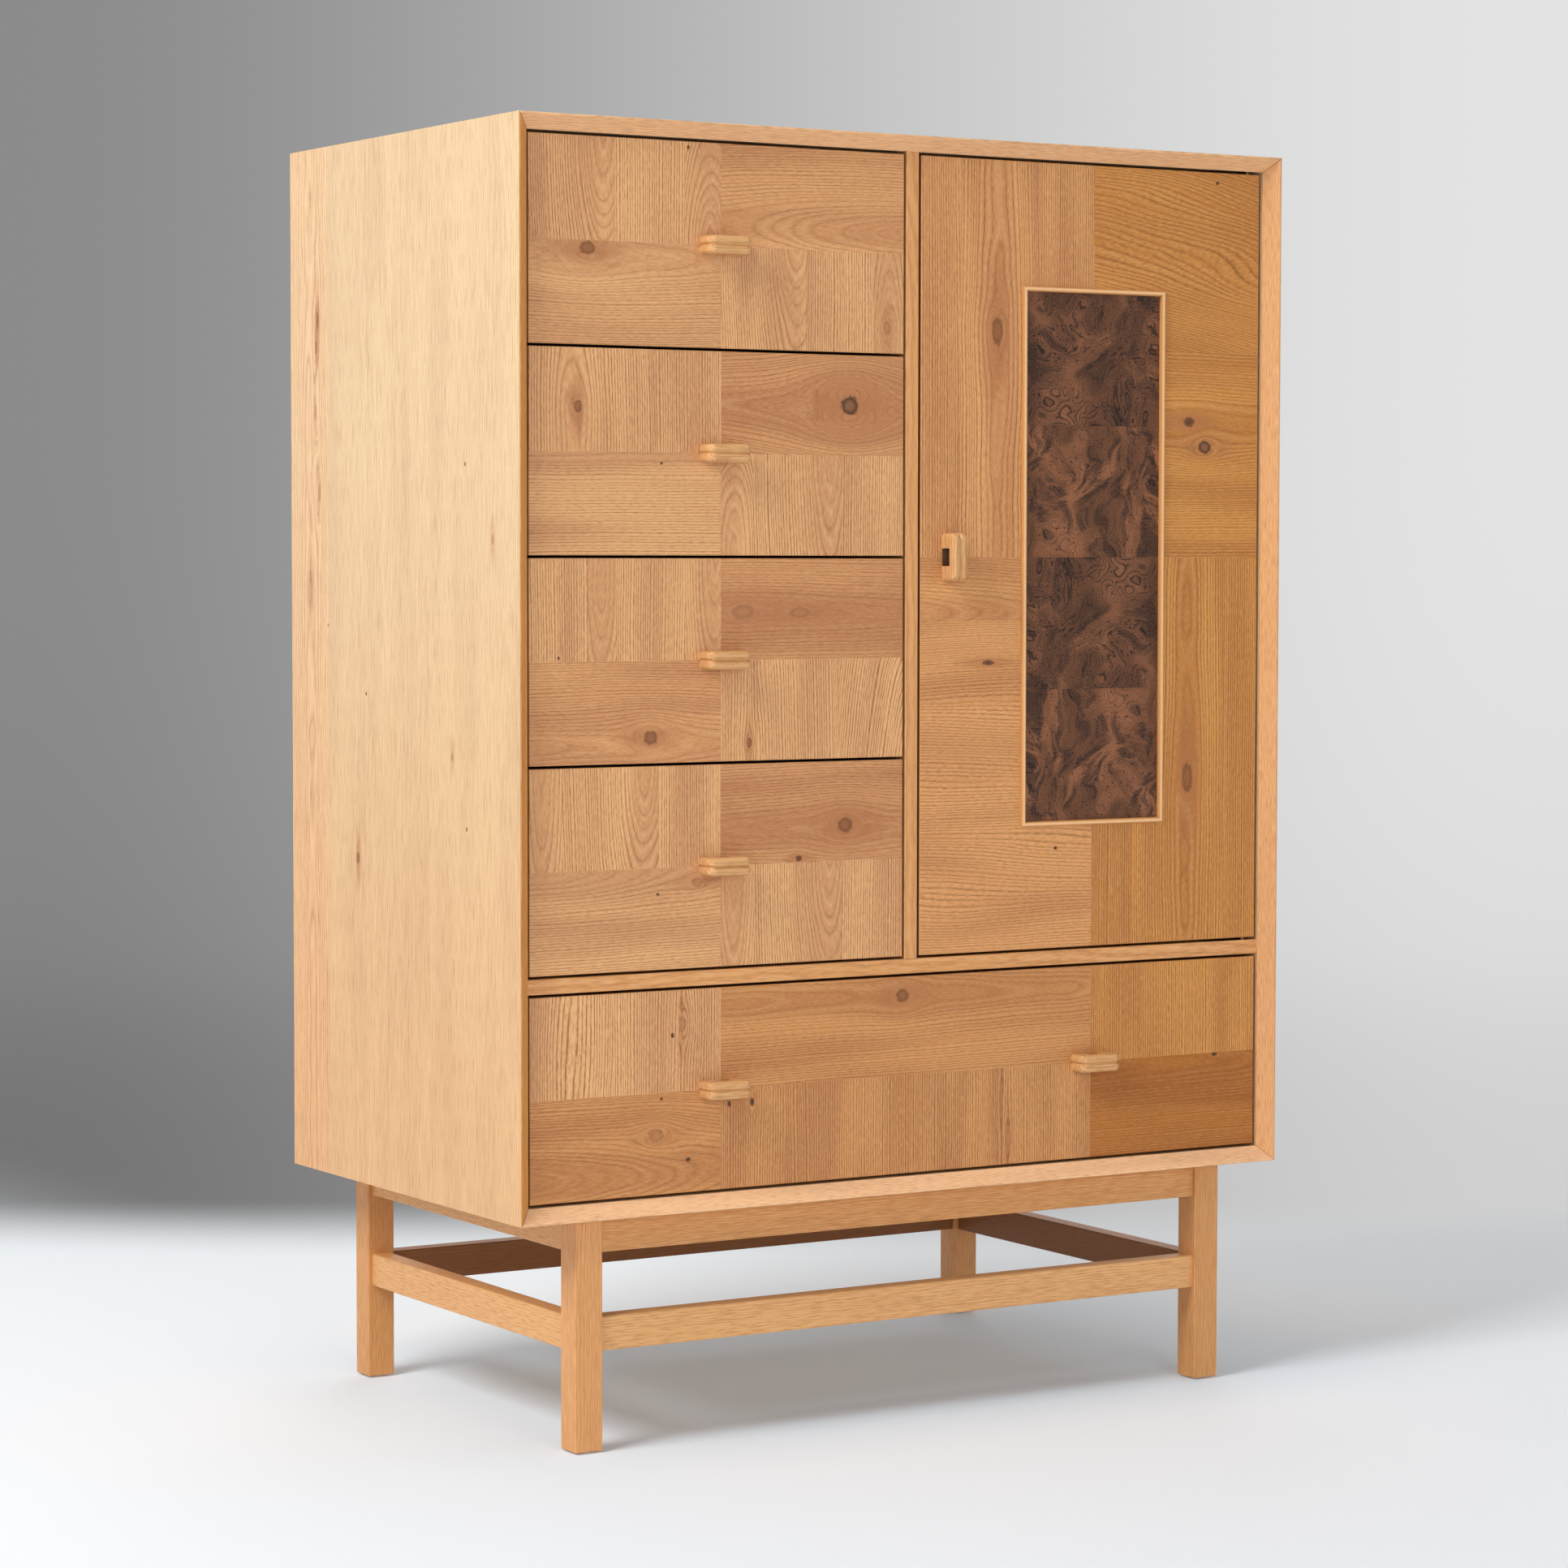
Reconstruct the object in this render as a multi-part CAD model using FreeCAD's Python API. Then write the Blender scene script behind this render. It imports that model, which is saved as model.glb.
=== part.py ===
import FreeCAD, Part
import math
import os

from FreeCAD import Vector

# Case, in millimetres
case_width = 965.0
case_depth = 545.0
case_height = 1130.0
panel_thickness = 16.0
divider_thickness = 16.0
partition_thickness = 16.0
edge_flat = 2.0  # flat strip left on the front edges, outside the inward bevel
back_thickness = 9.0
back_lap = 8.0  # how far the back laps onto the case panels
back_inset = 2.0  # outer face of the back, in from the case's rear edge
back_edge_fit = 0.5
edge_ease = 0.8  # small chamfer on the edges a hand meets

# Joints hidden in the case
spline_length = 10.0
spline_thickness = 3.0
spline_setback = 30.0  # from the front edge and from the back panel
dowel_radius = 4.0
dowel_in_panel = 8.0
dowel_in_divider = 16.0
dowel_count = 3
dowel_end_margin = 70.0
glue_fit = 0.05
hole_end_space = 0.5

# Fronts and door
front_thickness = 19.0
front_behind_bevel = 2.0
reveal_gap = 3.0
small_drawer_count = 4
wide_front_height = 213.0

# Base
base_height = 244.0
leg_section = 32.0
leg_inset_side = 70.0
leg_inset_front = 13.0
leg_inset_back = 12.0
leg_ease = 1.0
rail_thickness = 22.0
apron_height = 36.0
stretcher_height = 36.0
stretcher_rise = 105.0  # floor to the stretchers' lower edges
tenon_thickness = 8.0
tenon_shoulder = 6.0
tenon_wall = 1.0  # wood left between two tenons that meet in one leg
tenon_fit = 0.1
glide_radius = 11.0
glide_thickness = 2.0
glide_nail_radius = 1.5
glide_nail_length = 14.0
cleat_section = 20.0
cleat_leg_gap = 15.0
cleat_up_screws = 4
cleat_side_screws = 3

# Screws
screw_radius = 2.0
screw_head_radius = 4.0
screw_head_height = 2.5
screw_bite = 11.0  # length held in the far piece
screw_fit = 0.1

# Drawer boxes
box_board = 12.0
box_lift = 14.0  # box's lower edge above the front's lower edge
box_drop = 32.0  # box's upper edge below the front's upper edge
box_length = 470.0
drawer_bottom_thickness = 6.0
drawer_bottom_rise = 10.0
drawer_bottom_groove = 6.0
front_screw_inset = 60.0
front_screw_edge = 30.0

# Drawer slides, two folded steel members each
slide_length = 450.0
slide_height = 45.0
slide_width = 12.7
slide_metal = 1.5
slide_running_gap = 0.3
slide_side_gap = 1.2
slide_start = 4.0  # behind the rear face of the drawer front

# Pulls
pull_length = 52.5
pull_width = 19.2
pull_projection = 22.5
pull_corner_radius = 8.0
pull_notch_length = 19.0
pull_bar = 8.5  # wood in front of the finger notch
pull_edge_radius = 4.4
pull_groove_depth = 2.4
door_pull_inset = 37.5  # pull's centre line from the door's free edge

# Burl inlay and its moulding
inlay_width = 179.0
inlay_leaf_height = 144.25
inlay_leaf_count = 4
inlay_thickness = 4.0
inlay_sunk = 1.0  # burl face below the door face
moulding_width = 6.0
moulding_proud = 3.5
moulding_round = 2.4

# Knife hinges and catch
pivot_from_edge = 14.0
pivot_from_face = 5.0
leaf_length = 60.0
leaf_width = 12.0
leaf_thickness = 2.5
leaf_past_pivot = 8.0
leaf_ahead_of_pivot = 3.5
pin_radius = 2.0
pin_fit = 0.05
pin_short = 0.4
washer_radius = 3.2
washer_play = 0.3
catch_length = 40.0
catch_depth = 16.0
catch_height = 12.0
catch_from_free_edge = 14.0
strike_thickness = 1.5
strike_height = 14.0
catch_gap = 0.3

# Shelves behind the door
shelf_count = 2
shelf_rise = 290.0  # from the bay's floor to the first shelf, and from shelf to shelf
shelf_thickness = 16.0
shelf_side_gap = 1.0
shelf_back_gap = 1.0
shelf_setback = 22.0
shelf_pin_radius = 2.5
shelf_pin_in_wall = 9.0
shelf_pin_reach = 9.0
shelf_pin_flat = 0.5
shelf_pin_inset = 60.0

# Planes that the pieces share
tolerance = 1e-6
axis_x = Vector(1, 0, 0)
axis_y = Vector(0, 1, 0)
axis_z = Vector(0, 0, 1)
bevel_depth = panel_thickness - edge_flat
front_setback = bevel_depth + front_behind_bevel
pull_proud = max(0.0, pull_projection - front_setback)
half_width = case_width / 2
case_front = (pull_proud - case_depth) / 2
case_back = case_front + case_depth
case_floor = base_height
case_top_z = base_height + case_height
inner_half = half_width - panel_thickness
bay_floor = case_floor + panel_thickness
bay_ceiling = case_top_z - panel_thickness
face_y = case_front + front_setback
front_back_y = face_y + front_thickness
back_outer = case_back - back_inset
back_inner = back_outer - back_thickness
divider_under = bay_floor + wide_front_height + 2 * reveal_gap
divider_top = divider_under + divider_thickness
half_partition = partition_thickness / 2
small_bay_fronts = bay_ceiling - divider_top - (small_drawer_count + 1) * reveal_gap
small_front_height = small_bay_fronts / small_drawer_count
door_left = half_partition + reveal_gap
door_right = inner_half - reveal_gap
door_under = divider_top + reveal_gap
door_top = bay_ceiling - reveal_gap
door_middle_x = (door_left + door_right) / 2
door_middle_z = (door_under + door_top) / 2
pivot_x = door_right - pivot_from_edge
pivot_y = face_y + pivot_from_face


def box(x0, x1, y0, y1, z0, z1):
    return Part.makeBox(x1 - x0, y1 - y0, z1 - z0, Vector(x0, y0, z0))


def prism(corners, sweep):
    outline = Part.makePolygon(corners + corners[:1])
    return Part.Face(outline).extrude(sweep)


def rod(start, direction, length, radius):
    return Part.makeCylinder(radius, length, start, direction)


def evenly(low, high, count):
    step = (high - low) / (count - 1)
    return [low + step * index for index in range(count)]


def ease(shape, chosen, size):
    edges = [edge for edge in shape.Edges if chosen(edge.BoundBox)]
    return shape.makeChamfer(size, edges)


def along(bounds, axis):
    spans = {"x": bounds.XLength, "y": bounds.YLength, "z": bounds.ZLength}
    return all(span < tolerance for name, span in spans.items() if name != axis)


def ease_face_edges(shape, plane_y, size):
    return ease(shape, lambda b: max(abs(b.YMin - plane_y), abs(b.YMax - plane_y)) < tolerance, size)


def screw(seat, direction, grip):
    shank = rod(seat, direction, grip + screw_bite, screw_radius)
    head = rod(seat, -direction, screw_head_height, screw_head_radius)
    return shank.fuse(head).removeSplitter()


def screw_hole(seat, direction, grip):
    length = grip + screw_bite + hole_end_space
    return rod(seat, direction, length, screw_radius + screw_fit)


def head_hole(seat, direction):
    return rod(seat, -direction, screw_head_height + hole_end_space, screw_head_radius + screw_fit)


# Case joints: splines across the four mitres, dowels at the divider and the partition
def spline_prisms(fit):
    middle = panel_thickness / 2
    half_length = (spline_length / 2 + fit) * math.sqrt(0.5)
    half_thickness = (spline_thickness / 2 + fit) * math.sqrt(0.5)
    y0 = case_front + spline_setback - fit
    sweep = axis_y * (back_inner - spline_setback + fit - y0)
    prisms = []
    for side in (-1, 1):
        for level, up in ((case_floor, 1), (case_top_z, -1)):
            centre = Vector(side * (half_width - middle), y0, level + up * middle)
            across = Vector(up, 0, side) * half_length
            inward = Vector(-side, 0, up) * half_thickness
            corners = [centre + across + inward, centre - across + inward]
            corners += [centre - across - inward, centre + across - inward]
            prisms.append(prism(corners, sweep))
    return prisms


def dowel_seats():
    rows = evenly(face_y + dowel_end_margin, back_inner - dowel_end_margin, dowel_count)
    divider_middle = divider_under + divider_thickness / 2
    seats = []
    for y in rows:
        seats.append((Vector(-inner_half, y, divider_middle), axis_x))
        seats.append((Vector(inner_half, y, divider_middle), -axis_x))
        seats.append((Vector(0, y, divider_top), axis_z))
        seats.append((Vector(0, y, bay_ceiling), -axis_z))
    return seats


def dowels(fit, end_space):
    rods = []
    for seat, direction in dowel_seats():
        start = seat - direction * (dowel_in_panel + end_space)
        length = dowel_in_panel + dowel_in_divider + 2 * end_space
        rods.append(rod(start, direction, length, dowel_radius + fit))
    return rods


# Legs, aprons and stretchers
leg_x = half_width - leg_inset_side - leg_section / 2
leg_front_y = case_front + leg_inset_front + leg_section / 2
leg_back_y = case_back - leg_inset_back - leg_section / 2
tenon_length = (leg_section - tenon_thickness) / 2 - tenon_wall
apron_under = base_height - apron_height


def rail_blocks(axis, centre, low, high, under, height, thickness_change, length_change):
    half = rail_thickness / 2
    half_tenon = tenon_thickness / 2 + thickness_change
    reach = tenon_length + length_change
    tenon_low = under + tenon_shoulder - thickness_change
    tenon_high = under + height - tenon_shoulder + thickness_change
    body_span = (low, high)
    tenon_span = (low - reach, high + reach)
    body_band = (centre - half, centre + half)
    tenon_band = (centre - half_tenon, centre + half_tenon)
    if axis == "x":
        body = box(*body_span, *body_band, under, under + height)
        tenons = box(*tenon_span, *tenon_band, tenon_low, tenon_high)
    else:
        body = box(*body_band, *body_span, under, under + height)
        tenons = box(*tenon_band, *tenon_span, tenon_low, tenon_high)
    return body, tenons


def rail(axis, centre, low, high, under, height):
    body, tenons = rail_blocks(axis, centre, low, high, under, height, 0.0, 0.0)
    body = ease(body, lambda b: along(b, axis), leg_ease)
    return body.fuse(tenons).removeSplitter()


def mortises(axis, centre, low, high, under, height):
    return rail_blocks(axis, centre, low, high, under, height, tenon_fit, hole_end_space)[1]


def rail_places():
    half = leg_section / 2
    x_span = (half - leg_x, leg_x - half)
    y_span = (leg_front_y + half, leg_back_y - half)
    levels = (("apron", apron_under, apron_height), ("stretcher", stretcher_rise, stretcher_height))
    places = {}
    for kind, under, height in levels:
        places["front_" + kind] = ("x", leg_front_y, *x_span, under, height)
        places["back_" + kind] = ("x", leg_back_y, *x_span, under, height)
        places["left_" + kind] = ("y", -leg_x, *y_span, under, height)
        places["right_" + kind] = ("y", leg_x, *y_span, under, height)
    return places


def leg(x, y, cuts):
    half = leg_section / 2
    post = box(x - half, x + half, y - half, y + half, glide_thickness, base_height)
    post = ease(post, lambda b: along(b, "z") or b.ZMax < glide_thickness + tolerance, leg_ease)
    nail_length = glide_nail_length + hole_end_space
    nail_hole = rod(Vector(x, y, glide_thickness), axis_z, nail_length, glide_nail_radius + glue_fit)
    return post.cut(cuts + [nail_hole])


def glide(x, y):
    disc = rod(Vector(x, y, 0), axis_z, glide_thickness, glide_radius)
    nail = rod(Vector(x, y, glide_thickness), axis_z, glide_nail_length, glide_nail_radius)
    return disc.fuse(nail).removeSplitter()


# Cleats under the case, screwed to the aprons and up into the case bottom
cleat_half_length = leg_x - leg_section / 2 - cleat_leg_gap
cleat_under = base_height - cleat_section


def cleat_layout(apron_y, inward):
    near = apron_y + inward * rail_thickness / 2
    far = near + inward * cleat_section
    screws = []
    up_span = cleat_half_length - cleat_section
    side_span = up_span - 2 * cleat_section
    middle_y = (near + far) / 2
    middle_z = base_height - cleat_section / 2
    up_seat_z = cleat_under + screw_head_height
    for x in evenly(-up_span, up_span, cleat_up_screws):
        screws.append((Vector(x, middle_y, up_seat_z), axis_z, cleat_section - screw_head_height))
    for x in evenly(-side_span, side_span, cleat_side_screws):
        seat = Vector(x, far - inward * screw_head_height, middle_z)
        screws.append((seat, axis_y * -inward, cleat_section - screw_head_height))
    return min(near, far), max(near, far), screws


# Drawer slides
def slide_span():
    return front_back_y + slide_start, front_back_y + slide_start + slide_length


def channel(web_outer, web_inner, lip, half_height, centre_z):
    y0, y1 = slide_span()
    x_low = min(web_outer, web_inner)
    x_high = max(web_outer, web_inner)
    lip_low = min(web_outer, lip)
    lip_high = max(web_outer, lip)
    top = centre_z + half_height
    under = centre_z - half_height
    web = box(x_low, x_high, y0, y1, under, top)
    upper = box(lip_low, lip_high, y0, y1, top - slide_metal, top)
    lower = box(lip_low, lip_high, y0, y1, under, under + slide_metal)
    return web.fuse([upper, lower]).removeSplitter()


def case_slide(wall, inward, centre_z):
    lip = wall + inward * (slide_width - slide_metal - slide_side_gap)
    return channel(wall, wall + inward * slide_metal, lip, slide_height / 2, centre_z)


def drawer_slide(wall, inward, centre_z):
    half_height = slide_height / 2 - slide_metal - slide_running_gap
    outer = wall + inward * slide_width
    lip = wall + inward * (slide_metal + slide_side_gap)
    return channel(outer, outer - inward * slide_metal, lip, half_height, centre_z)


# Pulls: two beads with a groove between them, and a notch for a finger behind the bar
def pull_outline():
    half = pull_length / 2
    radius = pull_corner_radius
    tip = -pull_projection
    slant = radius * (1 - math.sqrt(0.5))
    notch = pull_notch_length / 2
    notch_y = tip + pull_bar
    left_turn = Vector(-half + slant, tip + slant, 0)
    right_turn = Vector(half - slant, tip + slant, 0)
    left_arc = Part.Arc(Vector(-half, tip + radius, 0), left_turn, Vector(-half + radius, tip, 0))
    right_arc = Part.Arc(Vector(half - radius, tip, 0), right_turn, Vector(half, tip + radius, 0))
    edges = [
        Part.LineSegment(Vector(-half, 0, 0), Vector(-half, tip + radius, 0)),
        left_arc,
        Part.LineSegment(Vector(-half + radius, tip, 0), Vector(half - radius, tip, 0)),
        right_arc,
        Part.LineSegment(Vector(half, tip + radius, 0), Vector(half, 0, 0)),
        Part.LineSegment(Vector(half, 0, 0), Vector(notch, 0, 0)),
        Part.LineSegment(Vector(notch, 0, 0), Vector(notch, notch_y, 0)),
        Part.LineSegment(Vector(notch, notch_y, 0), Vector(-notch, notch_y, 0)),
        Part.LineSegment(Vector(-notch, notch_y, 0), Vector(-notch, 0, 0)),
        Part.LineSegment(Vector(-notch, 0, 0), Vector(-half, 0, 0)),
    ]
    return Part.Face(Part.Wire([edge.toShape() for edge in edges]))


def on_pull_rim(bounds, level):
    flat = abs(bounds.ZMin - level) < tolerance and abs(bounds.ZMax - level) < tolerance
    on_end = bounds.XLength < tolerance and abs(abs(bounds.XMin) - pull_length / 2) < tolerance
    on_front = bounds.YMin < -pull_projection + tolerance
    return flat and (on_end or on_front)


def pull_bead():
    thickness = pull_width / 2
    bead = pull_outline().extrude(axis_z * thickness)
    bead = ease(bead, lambda b: on_pull_rim(b, 0.0), pull_groove_depth)
    rim = [edge for edge in bead.Edges if on_pull_rim(edge.BoundBox, thickness)]
    return bead.makeFillet(pull_edge_radius, rim)


def make_pull():
    upper = pull_bead()
    lower = upper.mirror(Vector(0, 0, 0), axis_z)
    return upper.fuse(lower).removeSplitter()


def place_pull(pull, x, z, upright):
    placed = pull.copy()
    if upright:
        placed.rotate(Vector(0, 0, 0), axis_y, 90)
    placed.translate(Vector(x, face_y, z))
    return placed


def pull_screw_seats(x, z, upright):
    offset = (pull_length + pull_notch_length) / 4
    seat_y = front_back_y - screw_head_height
    if upright:
        return [Vector(x, seat_y, z - offset), Vector(x, seat_y, z + offset)]
    return [Vector(x - offset, seat_y, z), Vector(x + offset, seat_y, z)]


pull_screw_grip = front_thickness - screw_head_height


# A drawer: front, pulls, box, bottom and steel hardware
def build_drawer(left_wall, right_wall, front_under, front_top, pull_xs, pull):
    middle_z = (front_under + front_top) / 2
    front_left = left_wall + reveal_gap
    front_right = right_wall - reveal_gap
    front = box(front_left, front_right, face_y, front_back_y, front_under, front_top)
    front = ease_face_edges(front, face_y, edge_ease)

    box_left = left_wall + slide_width
    box_right = right_wall - slide_width
    inside_left = box_left + box_board
    inside_right = box_right - box_board
    box_under = front_under + box_lift
    box_top = front_top - box_drop
    box_back = front_back_y + box_length
    inside_front = front_back_y + box_board
    inside_back = box_back - box_board
    bottom_under = box_under + drawer_bottom_rise
    bottom_top = bottom_under + drawer_bottom_thickness

    groove_left = inside_left - drawer_bottom_groove
    groove_right = inside_right + drawer_bottom_groove
    groove_front = inside_front - drawer_bottom_groove
    groove = box(groove_left, groove_right, groove_front, box_back, bottom_under, bottom_top)
    bottom = box(
        groove_left + hole_end_space, groove_right - hole_end_space,
        groove_front + hole_end_space, box_back, bottom_under, bottom_top,
    )

    front_screws = []
    for x in (inside_left + front_screw_inset, inside_right - front_screw_inset):
        for z in (bottom_top + front_screw_edge, box_top - front_screw_edge):
            front_screws.append((Vector(x, inside_front, z), -axis_y, box_board))
    front_holes = [screw_hole(*item) for item in front_screws]

    pulls = [place_pull(pull, x, middle_z, False) for x in pull_xs]
    pull_screws = []
    for x in pull_xs:
        pull_screws += [(seat, -axis_y, pull_screw_grip) for seat in pull_screw_seats(x, middle_z, False)]
    pull_holes = [screw_hole(*item) for item in pull_screws]
    pull_head_holes = [head_hole(seat, direction) for seat, direction, grip in pull_screws]

    slide_z = (box_under + box_top) / 2
    left_board = box(box_left, inside_left, front_back_y, box_back, box_under, box_top)
    right_board = box(inside_right, box_right, front_back_y, box_back, box_under, box_top)
    front_board = box(inside_left, inside_right, front_back_y, inside_front, box_under, box_top)
    back_board = box(inside_left, inside_right, inside_back, box_back, bottom_top, box_top)
    boards = [left_board.cut(groove), right_board.cut(groove), front_board.cut([groove] + front_holes), back_board]
    hardware = [
        drawer_slide(left_wall, 1, slide_z),
        drawer_slide(right_wall, -1, slide_z),
    ]
    hardware += [screw(*item) for item in front_screws + pull_screws]
    return {
        "front": [front.cut(front_holes + pull_holes + pull_head_holes)],
        "pull": [shape.cut(pull_holes) for shape in pulls],
        "box": boards,
        "bottom": [bottom],
        "hardware": hardware,
        "case_slides": [case_slide(left_wall, 1, slide_z), case_slide(right_wall, -1, slide_z)],
    }


# The door's hinges: one leaf let into the case, with its pin, and one into the door's edge
def hinge_plate(level, direction):
    x1 = pivot_x + leaf_past_pivot
    y0 = pivot_y - leaf_ahead_of_pivot
    far = level + direction * leaf_thickness
    return box(x1 - leaf_length, x1, y0, y0 + leaf_width, min(level, far), max(level, far))


def case_leaf(level, inward):
    start = Vector(pivot_x, pivot_y, level)
    direction = axis_z * inward
    plate = hinge_plate(level, -inward)
    washer = rod(start, direction, reveal_gap - washer_play, washer_radius)
    pin = rod(start, direction, reveal_gap + leaf_thickness - pin_short, pin_radius)
    return plate.fuse([washer, pin]).removeSplitter()


def door_leaf(level, inward):
    start = Vector(pivot_x, pivot_y, level)
    hole = rod(start, axis_z * inward, leaf_thickness, pin_radius + pin_fit)
    return hinge_plate(level, inward).cut(hole)


# Burl leaves and the mitred bead moulding round them
inlay_height = inlay_leaf_height * inlay_leaf_count
recess_depth = inlay_thickness + inlay_sunk


def inlay_rectangle(grow):
    half_x = inlay_width / 2 + grow
    half_z = inlay_height / 2 + grow
    x0 = door_middle_x - half_x
    x1 = door_middle_x + half_x
    z0 = door_middle_z - half_z
    z1 = door_middle_z + half_z
    return [(x0, z0), (x1, z0), (x1, z1), (x0, z1)]


def burl_leaves():
    corners = inlay_rectangle(0.0)
    y0 = face_y + inlay_sunk
    leaves = []
    for index in range(inlay_leaf_count):
        z0 = corners[0][1] + index * inlay_leaf_height
        leaves.append(box(corners[0][0], corners[1][0], y0, y0 + inlay_thickness, z0, z0 + inlay_leaf_height))
    return leaves


def moulding_strips():
    outer = inlay_rectangle(moulding_width)
    inner = inlay_rectangle(0.0)
    top_y = face_y - moulding_proud
    strips = []
    for index in range(4):
        following = (index + 1) % 4
        outline = [outer[index], outer[following], inner[following], inner[index]]
        corners = [Vector(x, top_y, z) for x, z in outline]
        strip = prism(corners, axis_y * (moulding_proud + recess_depth))
        runs = [edge for edge in strip.Edges if edge.BoundBox.YMax < top_y + tolerance]
        long_runs = sorted(runs, key=lambda edge: edge.Length)[-2:]
        strips.append(strip.makeFillet(moulding_round, long_runs))
    return strips


# Shelves and the pins that carry them
def shelf_levels():
    return [divider_top + shelf_rise * (index + 1) for index in range(shelf_count)]


def shelf_pin_seats():
    y_front = front_back_y + shelf_setback + shelf_pin_inset
    y_rear = back_inner - shelf_back_gap - shelf_pin_inset
    seats = []
    for level in shelf_levels():
        for y in (y_front, y_rear):
            for wall, inward in ((half_partition, 1), (inner_half, -1)):
                seats.append((Vector(wall, y, level - shelf_pin_radius + shelf_pin_flat), inward, level))
    return seats


def shelf_pin(seat, inward, level):
    start = seat - axis_x * inward * shelf_pin_in_wall
    pin = rod(start, axis_x * inward, shelf_pin_in_wall + shelf_pin_reach, shelf_pin_radius)
    trim = box(
        seat.x - shelf_pin_reach, seat.x + shelf_pin_reach,
        seat.y - shelf_pin_radius, seat.y + shelf_pin_radius,
        level, level + shelf_pin_radius,
    )
    return pin.cut(trim)


def shelf_pin_hole(seat, inward, level):
    depth = shelf_pin_in_wall + hole_end_space
    return rod(seat - axis_x * inward * depth, axis_x * inward, depth, shelf_pin_radius + glue_fit)


# The case: four mitred panels round the bays, the back, the divider and the partition
def rectangle(half_x, z0, z1):
    return [(-half_x, z0), (half_x, z0), (half_x, z1), (-half_x, z1)]


def case_parts(cleat_holes):
    outer = rectangle(half_width, case_floor, case_top_z)
    inner = rectangle(inner_half, bay_floor, bay_ceiling)
    rims = []
    for depth, shrink in ((0.0, edge_flat), (bevel_depth, panel_thickness)):
        corners = rectangle(half_width - shrink, case_floor + shrink, case_top_z - shrink)
        ring = [Vector(x, case_front + depth, z) for x, z in corners]
        rims.append(Part.makePolygon(ring + ring[:1]))
    bevel_void = Part.makeLoft(rims, True, True)
    lap_half = inner_half + back_lap
    lap_under = bay_floor - back_lap
    lap_top = bay_ceiling + back_lap
    rabbet = box(-lap_half, lap_half, back_inner, case_back, lap_under, lap_top)
    shared_cuts = [bevel_void, rabbet] + spline_prisms(glue_fit) + dowels(glue_fit, hole_end_space)
    pin_holes = [shelf_pin_hole(*seat) for seat in shelf_pin_seats()]
    hinge_pockets = [hinge_plate(bay_ceiling, 1), hinge_plate(divider_top, -1)]
    names = ("case_bottom", "case_right_side", "case_top", "case_left_side")
    extra_cuts = {"case_bottom": cleat_holes, "case_right_side": pin_holes, "case_top": hinge_pockets}
    parts = {}
    for index, name in enumerate(names):
        following = (index + 1) % 4
        outline = [outer[index], outer[following], inner[following], inner[index]]
        blank = prism([Vector(x, case_front, z) for x, z in outline], axis_y * case_depth)
        parts[name] = [blank.cut(shared_cuts + extra_cuts.get(name, []))]

    back = box(
        -lap_half + back_edge_fit, lap_half - back_edge_fit, back_inner, back_outer,
        lap_under + back_edge_fit, lap_top - back_edge_fit,
    )
    parts["case_back"] = [back]
    divider = box(-inner_half, inner_half, face_y, back_inner, divider_under, divider_top)
    divider = ease(divider, lambda b: along(b, "x") and b.YMax < face_y + tolerance, edge_ease)
    parts["horizontal_divider"] = [divider.cut(dowels(glue_fit, hole_end_space) + hinge_pockets)]
    partition = box(-half_partition, half_partition, face_y, back_inner, divider_top, bay_ceiling)
    partition = ease(partition, lambda b: along(b, "z") and b.YMax < face_y + tolerance, edge_ease)
    parts["vertical_partition"] = [partition.cut(dowels(glue_fit, hole_end_space) + pin_holes)]
    parts["case_joinery"] = spline_prisms(0.0) + dowels(0.0, 0.0)
    return parts


def base_parts():
    places = rail_places()
    parts = {name: [rail(*place)] for name, place in places.items()}
    mortise_cuts = [mortises(*place) for place in places.values()]
    glides = []
    for row, y in (("front", leg_front_y), ("back", leg_back_y)):
        for side, x in (("left", -leg_x), ("right", leg_x)):
            parts["leg_" + row + "_" + side] = [leg(x, y, mortise_cuts)]
            glides.append(glide(x, y))
    parts["foot_glides"] = glides

    cleats = []
    screws = []
    holes = []
    for name, apron_y, inward in (("front_apron", leg_front_y, 1), ("back_apron", leg_back_y, -1)):
        y0, y1, layout = cleat_layout(apron_y, inward)
        cleat_holes = [screw_hole(*item) for item in layout]
        cleat_holes += [head_hole(seat, direction) for seat, direction, grip in layout]
        blank = box(-cleat_half_length, cleat_half_length, y0, y1, cleat_under, base_height)
        cleats.append(blank.cut(cleat_holes))
        parts[name] = [parts[name][0].cut(cleat_holes)]
        screws += [screw(*item) for item in layout]
        holes += cleat_holes
    parts["base_cleats"] = cleats
    parts["base_screws"] = screws
    return parts, holes


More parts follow.
